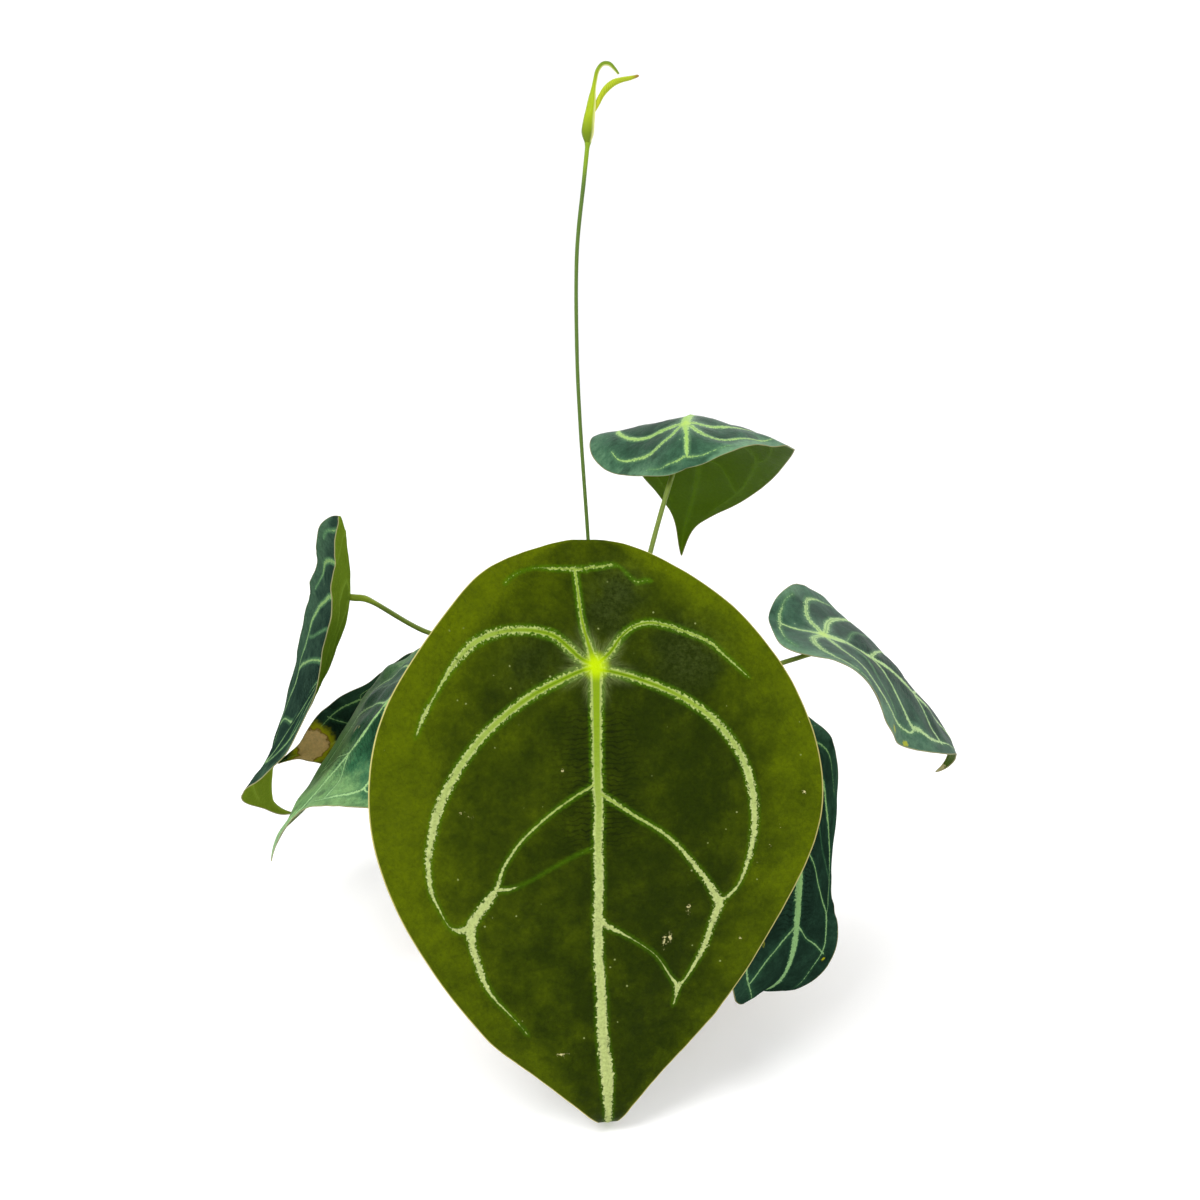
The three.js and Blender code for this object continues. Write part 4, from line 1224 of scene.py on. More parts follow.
def make_blade(name, leaf):
    """A blade as two bent grids, the upper face and the under face, joined round their rim.

    Both are moved off the bent plan along its normal: the upper one by the relief, the
    lower one by the relief less the thickness and the ridges of its veins.
    """
    angle = np.radians(np.linspace(FIRST_ANGLE, LAST_ANGLE, leaf["rows"] + 1))[:, None]
    share = np.linspace(-1, 1, leaf["columns"] + 1)[None, :] + 0 * angle
    heel = HEEL_SHARE * leaf["length"]
    along = -heel + (leaf["length"] + heel) * (1 - np.cos(angle)) / 2 + 0 * share
    width = np.where(share < 0, half_width(leaf, "left", angle), half_width(leaf, "right", angle))
    across = share * width
    edge = (1 - np.abs(share)) * width
    veins = blade_veins(name, leaf, across, along)
    lift, under = blade_relief(name, leaf, across, along, share, edge, veins)
    middle = bent(leaf, across, along)
    up = blade_up(leaf, across, along)
    inner = ramp(0, MARGIN_WIDTH, edge)
    thickness = MARGIN_THICKNESS + (BLADE_THICKNESS - MARGIN_THICKNESS) * inner
    points, faces = two_skins(
        middle + up * lift[..., None],
        middle + up * (lift - thickness - under)[..., None],
    )

    def stored(first, second, third, third_below=None):
        """Three numbers for each point of the upper face, and again for the under face."""
        upper = np.stack([first, second, third], -1)
        lower = upper if third_below is None else np.stack([first, second, third_below], -1)
        return np.concatenate([upper, lower]).reshape(-1, 3)

    tone = blade_tone(name, leaf, across, along, share)
    # How much painted satin sheen lies in each dent.
    dent_sheen = np.clip(dent_field(name, across, along) / DEEPEST_DENT, 0, 1)
    one, zero = np.ones_like(edge), np.zeros_like(edge)
    fields = {
        "flat": stored(across, along, one, third_below=zero),
        "tone": stored(tone, edge, dent_sheen),
        "spots": stored(*np.moveaxis(spot_field(name, across, along), -1, 0)),
    }
    for vein, (distance, half) in veins.items():
        fields[vein] = stored(distance, half, one * VEIN_TEARS[vein])
    in_front = name == "front"
    finish = blade_finish(name, PALETTES[name], veins, FRONT_HUB_REACH if in_front else HUB_REACH)
    slot = "front_blade" if in_front else "blade"
    return make_piece(name + "_blade", points, faces, finish, slot, ["blade_" + name], fields)


for leaf_name, leaf in LEAVES.items():
    make_blade(leaf_name, leaf)

# %% [markdown]
# ## Petioles and flower stalk
#
# A petiole is a round stalk carried along a smooth curve from the crown to the joint. It
# is thick at its base, slim between, and thick again at the knee where the blade turns.
# A stalk made from a bevelled curve would have an even thickness, so the rings are worked
# out directly: at each place a circle in the plane across the path, with a shallow groove
# along its upper side.

# %% Rings round a path
GROOVE_WIDTH = 0.5


def sideways(azimuth):
    """The level direction that crosses a stem of that bearing."""
    return about_z(1, math.radians(azimuth + 90), 0)


def stalk_rings(path, radius, side_hint, sides, groove=0.0):
    """Rings round a path. side_hint is a direction that is never along the path.

    A ring is centre + radius (cos a · out + sin a · side), drawn in by a bell curve at a = 0.
    """
    along = headings(path)
    out = unit(np.cross(side_hint, along))
    side = np.cross(along, out)
    angle = np.linspace(0, 2 * np.pi, sides, endpoint=False)[None, :, None]
    dip = 1 - groove * bell(np.angle(np.exp(1j * angle)), GROOVE_WIDTH)
    ring = np.cos(angle) * out[:, None] + np.sin(angle) * side[:, None]
    return path[:, None] + ring * dip * radius[:, None, None]


def stalk_fields(rings, length):
    """Two fields: the way along and the turn round, and the ways from the base and the top."""
    rows, sides = rings.shape[:2]
    along = np.repeat(np.linspace(0, length, rows), sides)
    turn = np.tile(np.linspace(0, 2 * np.pi, sides, endpoint=False), rows)
    return {
        "stalk": np.stack([along, np.cos(turn), np.sin(turn)], -1),
        "ends": np.stack([along, length - along, 0 * along], -1),
    }


print("a groove is", round(2 * math.degrees(GROOVE_WIDTH)), "degrees wide")

# %% Where the stalks start
CROWN_CIRCLE = 7
PETIOLE_SLOPE = 52
PETIOLE = dict(base=2.3, base_length=14, slim=1.6, slim_from=45, knee=2.2, knee_length=9, straight=16)
FLOWER_FOOT = dict(azimuth=105, height=133, circle=2.5, slope=90)


def crown_start(azimuth, height, circle, slope):
    """Where a stem leaves the crown, and which way it sets off."""
    turn, steep = np.radians([azimuth, slope])
    return about_z(circle, turn, height), about_z(np.cos(steep), turn, np.sin(steep))


start, heading = crown_start(**FLOWER_FOOT)
print("flower stalk: from", start.round(1), "towards", heading.round(2))

# %% Seats under the blades
SEAT_REACH = 3.4
SEAT_GAP = 0.4
MIDRIB_RIDGE = 1.3


def seat_depth(leaf):
    """How far under the joint the knee meets the blade's underside."""
    angle = np.linspace(0, 2 * np.pi, 16, endpoint=False)
    across, along = SEAT_REACH * np.cos(angle), SEAT_REACH * np.sin(angle)
    drop = (np.array(leaf["joint"]) - bent(leaf, across, along)) @ aim(leaf)[2]
    ridge = MIDRIB_RIDGE * np.clip(1 - np.abs(across) / 2, 0, 1)
    return (drop + ridge).max() + BLADE_THICKNESS + SEAT_GAP


print("knee of the front blade:", round(seat_depth(LEAVES["front"]), 2), "mm under its joint")

# %% Stalk finish
STALK_FLECKS = colour(206, 214, 150)


def stalk_finish(name, base, body, knee):
    """Green stalk: browner low down, pale and yellowish at its top, with streaks and dots."""
    made = Finish(name, Specular_IOR_Level=0.2)
    along, round_x, round_y = made.parts(made.field("stalk"))
    from_base, from_top, _ = made.parts(made.field("ends"))
    wrapped = made.node("CombineXYZ", {0: along * 0.06, 1: round_x * 2.0, 2: round_y * 2.0})
    streak = made.noise(wrapped, 2.2, 3.0, 0.6)
    spots = made.noise(made.place(), 900.0, 2.0, 0.6)
    skin = made.mix(body, knee, from_top.step(26, 8))
    skin = made.mix(skin, base, from_base.step(60, 12) * 0.8)
    skin = made.scaled(skin, streak * 0.5 + 0.75)
    skin = made.mix(skin, STALK_FLECKS, spots.step(0.66, 0.74) * 0.35)
    return made.finish(
        Base_Color=skin,
        Roughness=streak * 0.15 + 0.4,
        Normal=made.bump(streak * 0.15 + spots * 0.06, MM),
    )


PETIOLE_FINISH = stalk_finish(
    "petiole", colour(94, 96, 38), colour(106, 124, 46), colour(142, 162, 42))
PEDUNCLE_FINISH = stalk_finish(
    "flower_stalk", colour(80, 90, 36), colour(78, 104, 38), colour(116, 144, 26))

# %% [markdown]
# ## Make the petioles
#
# Each petiole leaves the crown at its own height and bearing, runs through the places in
# its leaf's table and ends in a knee that stands square under the blade. The last rings
# draw in, so that the knee closes on the underside and doesn't break through it.

# %% Make the petioles
PETIOLE_STEPS = 130
STALK_SIDES = 20
PETIOLE_GROOVE = 0.12
WRINKLE = 0.02


def petiole_knots(leaf):
    """The places that a petiole's curve runs through, from the crown to the joint."""
    stem = leaf["stem"]
    start, heading = crown_start(stem["azimuth"], stem["height"], CROWN_CIRCLE, PETIOLE_SLOPE)
    up = aim(leaf)[2]
    joint = np.array(leaf["joint"])
    seat = joint - up * seat_depth(leaf)
    straight, knee = PETIOLE["straight"], PETIOLE["knee_length"]
    return [
        start, start + heading * straight / 2, start + heading * straight,
        *stem["via"],
        seat - up * knee, seat - up * knee / 3, joint - up * BLADE_THICKNESS,
    ]


def petiole_radius(from_base, from_top):
    """Thick at the base and again at the knee, and drawn in over the last millimetre or so."""
    p = PETIOLE
    base = glide([0, p["base_length"], p["slim_from"]], [p["base"], p["base"], p["slim"]], from_base)
    knee_places = [0, p["knee_length"], 2 * p["knee_length"]]
    knee = glide(knee_places, [p["knee"], p["knee"], p["slim"]], from_top)
    return np.maximum(base, knee) * glide([0, 0.6, 1.6], [0.35, 0.8, 1], from_top)


def make_petiole(name, leaf):
    """A stalk with its groove on the side that faces the crown, which is its upper side."""
    path, length = even_curve(petiole_knots(leaf), PETIOLE_STEPS)
    from_base = np.linspace(0, length, PETIOLE_STEPS + 1)
    wrinkle = 1 + WRINKLE * waves(path, 9, len(name))
    radius = petiole_radius(from_base, length - from_base) * wrinkle
    hint = -sideways(leaf["stem"]["azimuth"])
    rings = stalk_rings(path, radius, hint, STALK_SIDES, groove=PETIOLE_GROOVE)
    return make_piece(
        name + "_petiole", *closed_rings(rings), PETIOLE_FINISH, "petiole", ["petiole_" + name],
        stalk_fields(rings, length),
    )


for leaf_name, leaf in LEAVES.items():
    make_petiole(leaf_name, leaf)

# %% [markdown]
# ## Make the flower stalk
#
# The flower stalk is a petiole's slimmer sister: it leaves the top of the crown upright,
# passes behind the large blade and flares a little where the flower sits on it.

# %% Make the flower stalk
FLOWER_TOP = np.array([-6.7, 0, 500])
FLOWER_VIA = [[-3, 4, 200], [-7.2, 1, 275], [-11.7, 0, 345], [-13.3, 0, 385], [-13, 0, 441], [-9, 0, 479]]
PEDUNCLE = dict(base=1.8, base_length=15, slim=1.25, slim_from=60, top=2.1, flare=4)
PEDUNCLE_STEPS = 220

start, heading = crown_start(**FLOWER_FOOT)
knots = [start, start + heading * PEDUNCLE["base_length"], *FLOWER_VIA, FLOWER_TOP]
path, length = even_curve(knots, PEDUNCLE_STEPS)
places = [0, PEDUNCLE["base_length"], PEDUNCLE["slim_from"], length - PEDUNCLE["flare"], length]
radii = [PEDUNCLE[part] for part in ("base", "base", "slim", "slim", "top")]
radius = glide(places, radii, np.linspace(0, length, PEDUNCLE_STEPS + 1))
radius = radius * (1 + WRINKLE * waves(path, 14, 5))
rings = stalk_rings(path, radius, np.array([0, 1, 0]), STALK_SIDES)
make_piece(
    "flower_stalk", *closed_rings(rings), PEDUNCLE_FINISH, "petiole", ["peduncle"],
    stalk_fields(rings, length),
)

# %% [markdown]
# ## The curves of the flower
#
# Spathe and spadix sit on the end of the flower stalk and both bend in one upright plane.
# So each is described by a row of places in that plane, with its half width there. A
# drawn curve object could hold the same, but its numbers would not show in the script.

# %% Flower curves
SPATHE_RUN = dict(
    x=[0, 0, 0.8, 1.7, 2.5, 3.4, 4.2, 5.6, 8.4, 11.7, 14.4, 16.9],
    z=[-0.8, 4.6, 11, 16.2, 21.4, 27.7, 32, 37, 40.1, 40.1, 37.8, 34.9],
    half=[1.9, 3.6, 3.3, 2.9, 2.4, 1.5, 1.3, 1.3, 1.3, 1.3, 1.05, 0.7],
    round=[158, 158, 155, 150, 145, 142, 142, 142, 142, 142, 140, 140],
)
SPADIX_RUN = dict(
    x=[0.2, 0.9, 2.3, 5, 7.4, 10, 13.9, 18.4, 23.4, 28.2],
    z=[0.4, 8, 14.5, 19.2, 23.7, 27.2, 30.3, 31.9, 32.9, 34.2],
    half=[0.8, 1.1, 1.3, 1.4, 1.5, 1.8, 1.8, 1.4, 1.1, 0.6],
)


def flower_path(run, steps):
    """The curve of a flower piece, and the table's other values along it."""
    knots = np.stack([run["x"], np.zeros(len(run["x"])), run["z"]], -1) + FLOWER_TOP
    dense, _ = curve_points(knots, per_span=24)
    share = np.linspace(0, len(knots) - 1, len(dense))
    at = np.linspace(0, len(knots) - 1, steps + 1)
    path = np.stack([np.interp(at, share, dense[:, axis]) for axis in range(3)], -1)
    places = np.arange(len(knots))
    extras = {key: glide(places, run[key], at) for key in run if key not in ("x", "z")}
    return path, extras


def outer_frame(path):
    """At each place of a curve in the plane Y = 0: the outer side, and the side to the front."""
    along = headings(path)
    outer = np.stack([-along[:, 2], 0 * along[:, 1], along[:, 0]], -1)
    return outer, np.array([0, -1, 0])


def arcs(path, angle):
    """Which way a point at that angle round a curve lies: 0 is outer, a right angle is front."""
    outer, front = outer_frame(path)
    return np.cos(angle)[..., None] * outer[:, None] + np.sin(angle)[..., None] * front


print("the spathe reaches", max(SPATHE_RUN["x"]), "mm to the right and the spadix",
      max(SPADIX_RUN["x"]), "mm")

# %% [markdown]
# ## Spathe
#
# The spathe is a narrow bract, rolled round the foot of the spadix and hooked over at its
# tip. It is a sheet between an outer and an inner arc that follow one curve. Its colour
# runs from yellow-green to green along it, in fine streaks, with pale lips.

# %% Spathe finish
spathe_finish = Finish("spathe", Specular_IOR_Level=0.2)
length_way, round_way, lip = spathe_finish.parts(spathe_finish.field("sheet"))
streaked = spathe_finish.node(
    "CombineXYZ", {0: length_way * 1.5, 1: round_way * 16.0, 2: 0.0})
streaks = spathe_finish.noise(streaked, 1.4, 3.0, 0.6)
skin = spathe_finish.mix(colour(96, 118, 0), colour(142, 162, 2), length_way.step(0.04, 0.26))
skin = spathe_finish.mix(skin, colour(92, 120, 12), length_way.step(0.45, 0.75) * 0.85)
skin = spathe_finish.scaled(skin, streaks * 0.5 + 0.76)
skin = spathe_finish.mix(skin, colour(226, 226, 150), lip.step(0.72, 0.97) * 0.85)
spathe_finish.finish(
    Base_Color=skin, Roughness=streaks * 0.2 + 0.35, Normal=spathe_finish.bump(streaks * 0.2, MM))

# %% Spathe sheet
SPATHE_STEPS = 150
SPATHE_ROUND = 40
SPATHE_THICKNESS = 0.7
SPATHE_WAVES = 0.03

path, extras = flower_path(SPATHE_RUN, SPATHE_STEPS)
turn = np.linspace(-1, 1, SPATHE_ROUND)
angle = np.radians(extras["round"])[:, None] * turn[None, :]
arc = arcs(path, angle)
wavy = waves(np.stack([angle * 2, path[:, None, 2] / 4 + 0 * angle], -1), 2.2, 4)
half = extras["half"][:, None] * (1 + SPATHE_WAVES * wavy)
thin = np.minimum(SPATHE_THICKNESS, 0.85 * half) * (1 - 0.5 * ramp(0.75, 1, np.abs(turn)))
outside = path[:, None] + arc * half[..., None]
inside = path[:, None] + arc * (half - thin)[..., None]
print("the sheet is", thin.min().round(2), "to", thin.max().round(2), "mm thick")

# %% Make the spathe
rings = np.concatenate([outside, inside[:, ::-1]], axis=1)
rows, around = rings.shape[:2]
index = np.arange(rows * around).reshape(rows, around)
flap = np.arange(SPATHE_ROUND - 1)
low, high = index[0], index[-1]
ends = [
    np.stack([low[flap], low[around - 1 - flap], low[around - 2 - flap], low[flap + 1]], -1),
    np.stack([high[flap], high[flap + 1], high[around - 2 - flap], high[around - 1 - flap]], -1),
]
share = np.linspace(0, 1, rows)[:, None] + np.zeros(around)
ring_turn = np.concatenate([turn, turn[::-1]])[None, :] + 0 * share
sheet = np.stack([share, ring_turn, np.abs(ring_turn)], -1).reshape(-1, 3)
walls = grid_faces(rows, around, wrap=True)[:, ::-1]
make_piece(
    "rolled_spathe", rings.reshape(-1, 3), [walls, *ends], spathe_finish.material,
    "spathe", ["spathe"], {"sheet": sheet}, crease=50,
)

# %% [markdown]
# ## Spadix
#
# The spadix is packed with hundreds of tiny flowers. It is a round stalk whose surface is
# raised in scales where two families of spirals cross, as on a fir cone. A formula gives
# one closed surface, which separate small balls would not.

# %% Spadix surface
SPADIX_STEPS = 260
SPADIX_ROUND = 72
SPIRALS = (8, 13)
FLOWER_PITCH = 0.95
LEFT_STRETCH = 1.6
FLOWER_HEIGHT = 0.22

path, extras = flower_path(SPADIX_RUN, SPADIX_STEPS)
pace = np.linalg.norm(np.diff(path, axis=0), axis=1)
walked = np.concatenate([[0], np.cumsum(pace)])[:, None]
end = walked.max()
angle = np.linspace(0, 2 * np.pi, SPADIX_ROUND, endpoint=False)[None, :]
left_spiral = np.cos(SPIRALS[0] * angle + 2 * np.pi * walked / FLOWER_PITCH / LEFT_STRETCH)
right_spiral = np.cos(SPIRALS[1] * angle - 2 * np.pi * walked / FLOWER_PITCH)
bumps = np.sqrt(np.clip((1 + left_spiral) * (1 + right_spiral), 0, None)) - 1
fade = ramp(0.2, 1.6, walked) * ramp(end, end - 1.2, walked)
tip_round = np.sqrt(np.clip(1 - ramp(end - 1.0, end, walked) ** 2, 0.01, 1))
radius = (extras["half"][:, None] + FLOWER_HEIGHT * (bumps * fade - 0.4)) * tip_round
share = walked / end + 0 * angle
knobs = np.stack([share, bumps, 0 * share], -1).reshape(-1, 3)
print("the spadix is", round(float(end), 1), "mm long, with", SPIRALS, "spirals")

# %% Make the spadix
spadix_finish = Finish("spadix", Specular_IOR_Level=0.2)
length_way, knob, _ = spadix_finish.parts(spadix_finish.field("knobs"))
skin = spadix_finish.mix(colour(134, 152, 8), colour(184, 198, 44), knob.step(-0.9, 0.7))
skin = spadix_finish.mix(skin, colour(206, 206, 20), length_way.step(0.6, 0.2) * 0.6)
skin = spadix_finish.mix(skin, colour(150, 104, 52), length_way.step(0.9, 1.0) * 0.9)
spadix_finish.finish(Base_Color=skin, Roughness=0.5 - knob * 0.06)
rings = path[:, None] + arcs(path, angle) * radius[..., None]
make_piece(
    "pebbled_spadix", *closed_rings(rings), spadix_finish.material,
    "spadix", ["spadix"], {"knobs": knobs},
)

# %% [markdown]
# ## Crown and roots
#
# The crown is the short woody stem that all stalks leave from, ringed by old leaf scars.
# It is joined from simple closed forms, a turned stem, a collar for each stalk and arching
# roots, and then a voxel remesh melts them into one skin. That gives the soft fillets of
# grown tissue, which a plain boolean join would leave sharp.

# %% Crown stem
SOIL_TOP = 106
CROWN = dict(foot=84, foot_radius=8.5, top=137, top_radius=4.5, radius=11.5, shoulder=10.4, scar=0.7)


def turned(profile, sides, ripple=None):
    """A profile of (radius, height) turned about Z, with its ends closed by one face each."""
    profile = np.asarray(profile, float)
    angle = np.linspace(0, 2 * np.pi, sides, endpoint=False)[None, :]
    radius = profile[:, :1] + 0 * angle
    height = profile[:, 1:] + 0 * angle
    if ripple is not None:
        radius = radius + ripple(radius, angle, height)
    return closed_rings(about_z(radius, angle, height))


def stem_profile():
    """The crown's side from its foot in the soil to its rounded top, through two leaf scars."""
    c = CROWN
    knots = [
        (c["foot_radius"], c["foot"]), (c["radius"], c["foot"] + 14), (c["radius"], SOIL_TOP + 5),
        (c["radius"] - c["scar"], SOIL_TOP + 6.5), (c["radius"], SOIL_TOP + 8),
        (c["radius"] - c["scar"], SOIL_TOP + 13), (c["shoulder"] - c["scar"], SOIL_TOP + 14.5),
        (c["shoulder"], SOIL_TOP + 16), ((c["shoulder"] + c["radius"]) / 2 - 2, c["top"] - 6),
        (c["top_radius"], c["top"] - 1.5), (0.5, c["top"]),
    ]
    return curve_points(knots, per_span=6)[0]


def stem_ripple(radius, angle, height):
    """How far the stem's skin stands out of its round: wide waves and finer ones."""
    around = about_z(8, angle, height)
    return 0.35 * waves(around, 7, 3) + 0.15 * waves(around, 2.6, 4)


print("crown:", CROWN["top"] - SOIL_TOP, "mm above the potting mix")

# %% Roots and collars
# A root is (azimuth, height where it leaves the crown, reach).
CROWN_ROOTS = [(20, 113, 27), (98, 115, 31), (168, 112, 25), (246, 114, 30), (312, 112, 26)]
ROOT = dict(thick=1.9, thin=1.2, rough=0.08, steps=60, sides=16)
COLLAR = dict(length=8, below=1.4, above=0.5)


def root_shell(azimuth, height, reach):
    """A root that leaves the crown, arches over the soil and goes down into it."""
    out_to = [CROWN["top_radius"], CROWN["radius"] + 2, reach - 5, reach]
    levels = [height - 2, height + 1.5, SOIL_TOP + 3.5, SOIL_TOP - 9]
    knots = about_z(np.array(out_to), math.radians(azimuth), np.array(levels))
    path, _ = even_curve(knots, ROOT["steps"])
    radius = np.linspace(ROOT["thick"], ROOT["thin"], ROOT["steps"] + 1)
    radius = radius * (1 + ROOT["rough"] * waves(path, 6, azimuth))
    return closed_rings(stalk_rings(path, radius, sideways(azimuth), ROOT["sides"]))


def collar_shell(azimuth, height, circle, slope, radius):
    """A low collar round the foot of a stalk."""
    start, heading = crown_start(azimuth, height, circle, slope)
    along = np.linspace(0, COLLAR["length"], 9)
    path = start + heading * along[:, None]
    radii = np.linspace(radius + COLLAR["below"], radius + COLLAR["above"], len(along))
    return closed_rings(stalk_rings(path, radii, sideways(azimuth), STALK_SIDES))


print("roots:", len(CROWN_ROOTS), "of up to", 2 * ROOT["thick"], "mm")

# %% [markdown]
# ## The look of the crown
#
# Old stem is brown and corky, greener towards its young top, with paler dry patches. The
# melted skin has no rows or columns to store fields on, so this finish follows the place
# of each point in space.

# %% Crown finish
crown_finish = Finish("crown", Specular_IOR_Level=0.3)
here = crown_finish.place()
_, _, level = crown_finish.parts(here)
bark = crown_finish.noise(here, 260.0, 5.0, 0.65, 0.4)
patch = crown_finish.noise(here, 70.0, 3.0, 0.5)
skin = crown_finish.mix(colour(74, 56, 34), colour(148, 128, 84), bark.step(0.35, 0.7))
young = (level * 60.0 - 7.2 + patch * 1.6).step(0.6, 1.4)
skin = crown_finish.mix(skin, colour(112, 126, 52), young * 0.75)
skin = crown_finish.mix(skin, colour(168, 160, 132), patch.step(0.6, 0.72) * 0.35)
crown_finish.finish(
    Base_Color=skin, Roughness=bark * 0.3 + 0.6, Normal=crown_finish.bump(bark + patch * 0.4, 0.8 * MM))

# %% Make the crown
VOXEL = 0.55
CROWN_SIDES = 72

shells = [turned(stem_profile(), CROWN_SIDES, stem_ripple)]
for leaf in LEAVES.values():
    stem = leaf["stem"]
    shells.append(collar_shell(
        stem["azimuth"], stem["height"], CROWN_CIRCLE, PETIOLE_SLOPE, PETIOLE["base"]))
shells.append(collar_shell(**FLOWER_FOOT, radius=PEDUNCLE["base"]))
shells += [root_shell(*root) for root in CROWN_ROOTS]
crown = make_piece("crown_stem", *gathered(shells), crown_finish.material, "crown", ["crown"])
melt = crown.modifiers.new("melt", "REMESH")
melt.mode = "VOXEL"
melt.voxel_size = VOXEL * MM
melt.use_smooth_shade = True
soften = crown.modifiers.new("soften", "SMOOTH")
soften.factor = 0.5
soften.iterations = 3
apply_modifiers(crown)

# %% [markdown]
# ## Cataphylls
#
# Each leaf was wrapped in a papery sheath while it grew. The sheaths dry to brown
# fibres and stay round the crown, as long pointed scales between the stalks. Each one is
# a thin sheet of two skins, bent round the crown and leaning out. Hair strands could give
# the fibres, but at this size a streaky colour and bump are enough.

# %% Cataphyll finish
sheath_finish = Finish("cataphyll", Specular_IOR_Level=0.25)
up_way, side_way, _ = sheath_finish.parts(sheath_finish.field("scale"))
fibre_place = sheath_finish.node("CombineXYZ", {0: up_way * 1.2, 1: side_way * 14.0, 2: 0.0})
fibre = sheath_finish.noise(fibre_place, 2.0, 4.0, 0.7, 0.3)
skin = sheath_finish.mix(colour(92, 62, 34), colour(176, 142, 96), fibre.step(0.32, 0.7))
skin = sheath_finish.mix(skin, colour(70, 44, 26), up_way.step(0.72, 1.0) * 0.7)
sheath_finish.finish(
    Base_Color=skin, Roughness=0.72 + fibre * 0.15, Normal=sheath_finish.bump(fibre, 0.5 * MM))

# %% Cataphyll shape
SHEATH_ROWS = 36
SHEATH_COLUMNS = 17
SHEATH_THICKNESS = 0.35
SHEATH_RADIUS = 11.6


def sheath_shell(azimuth, height, length, spread, lean):
    """A pointed scale: it hugs the crown at its foot and leans out towards its tip.

    Its half angle round the crown falls from spread to nothing along its length.
    """
    t = np.linspace(0, 1, SHEATH_ROWS)[:, None]
    u = np.linspace(-1, 1, SHEATH_COLUMNS)[None, :]
    narrow = (1 - t**1.6) ** 0.8 * (1 + 0.08 * np.sin(23 * t + azimuth))
    sway = 0.1 * np.sin(3 * t + azimuth)
    turn = math.radians(azimuth) + math.radians(spread) * u * narrow + sway
    radius = SHEATH_RADIUS + lean * t**2 * 9 - 1.1 * u**2 * t + 0.25 * np.sin(9 * u + 5 * t)
    level = height + length * t * (1 - 0.12 * u**2 * t)
    inside = about_z(radius - SHEATH_THICKNESS, turn, level)
    outside = about_z(radius, turn, level)
    field = np.stack(np.broadcast_arrays(t, u, 0.0), -1).reshape(-1, 3)
    return *two_skins(inside, outside), np.vstack([field, field])


print("each sheath has", 2 * SHEATH_ROWS * SHEATH_COLUMNS, "points")

# %% Make the cataphylls
# A sheath is (azimuth, height, length, spread, lean).
SHEATHS = [
    (-60, 112, 36, 38, 0.5), (15, 116, 30, 34, 0.7), (75, 113, 40, 36, 0.4), (125, 118, 26, 30, 0.9),
    (195, 114, 34, 36, 0.6), (250, 117, 28, 32, 0.8), (285, 110, 20, 40, 0.5), (165, 110, 22, 36, 0.3),
]
shells = [sheath_shell(*sheath) for sheath in SHEATHS]
scales = gathered([(points, faces) for points, faces, _ in shells])
fields = {"scale": np.vstack([field for _, _, field in shells])}
make_piece("cataphylls", *scales, sheath_finish.material, "crown", fields=fields)

# %% [markdown]
# ## Potting mix
#
# An aroid mix is coarse: bark chips, white perlite, bits of charcoal and dark humus
# between them. The humus is a body of its own that fills the pot, with a lumpy top of many
# rings. A displaced plane would be quicker, but it would have no sides and no weight.

# %% Soil finish and shape
POT = dict(height=120, rim=68, rim_height=22, under_rim=63.5, foot=50, wall=4.5, floor=6)
CLEARANCE = 0.3


def pot_outer(height):
    """The outer radius of the pot's wall, which widens evenly from its foot to its rim."""
    share = height / (POT["height"] - POT["rim_height"])
    return POT["foot"] + (POT["under_rim"] - POT["foot"]) * share


def soil_height(x, y):
    """Level round the crown; further out it has broad lumps with smaller ones between."""
    lumpy = ramp(12, 24, np.hypot(x, y))
    broad = np.sin(0.21 * x + 1.3) * np.cos(0.17 * y - 0.4)
    small = 0.5 * np.sin(0.37 * x - 0.31 * y)
    return SOIL_TOP + 1.1 * lumpy * (broad + small)


soil_finish = Finish("soil", Specular_IOR_Level=0.2)
here = soil_finish.place()
crumbs = soil_finish.noise(here, 420.0, 6.0, 0.7)
damp = soil_finish.noise(here, 40.0, 3.0, 0.5)
skin = soil_finish.mix(colour(30, 21, 15), colour(86, 64, 46), crumbs.step(0.35, 0.72))
skin = soil_finish.mix(skin, colour(20, 15, 12), damp.step(0.45, 0.65) * 0.5)
soil_finish.finish(
    Base_Color=skin, Roughness=0.8 + damp * 0.15, Normal=soil_finish.bump(crumbs, 1.2 * MM))

# %% Make the potting mix
SOIL_RINGS = 110
SOIL_SIDES = 260
FOOT_INSET = 2.5
SOIL_SUNK = 0.8
edge_radius = pot_outer(SOIL_TOP) - POT["wall"] - CLEARANCE
foot_radius = pot_outer(POT["floor"]) - POT["wall"] - CLEARANCE - FOOT_INSET
radius = np.linspace(edge_radius, 0.4, SOIL_RINGS)[:, None]
angle = np.linspace(0, 2 * np.pi, SOIL_SIDES, endpoint=False)[None, :]
top = about_z(radius, angle, 0.0)
flat = top[..., :2]
crumble = 0.55 * waves(flat, 4.5, 21, 14) + 0.4 * waves(flat, 2.2, 22, 14) + 0.9 * waves(flat, 13, 23)
crumble = crumble * ramp(edge_radius, edge_radius - 3, radius)
top[..., 2] = soil_height(top[..., 0], top[..., 1]) + crumble - SOIL_SUNK
foot = about_z(foot_radius, angle, POT["floor"] + CLEARANCE)
rings = np.concatenate([foot, top])
make_piece("potting_mix", *closed_rings(rings), soil_finish.material, "soil", ["soil"])

# %% [markdown]
# ## Chips and grains
#
# Every chip is a small rounded block, flattened, turned and dented at random from one
# seed, and sunk half into the surface. So the mix looks loose, and always falls the same
# way. A simulation would pile the grains more truly, for much more time and no clearer a
# picture.

# %% Chips and grains
TILT = 0.25
SUNK = 0.4


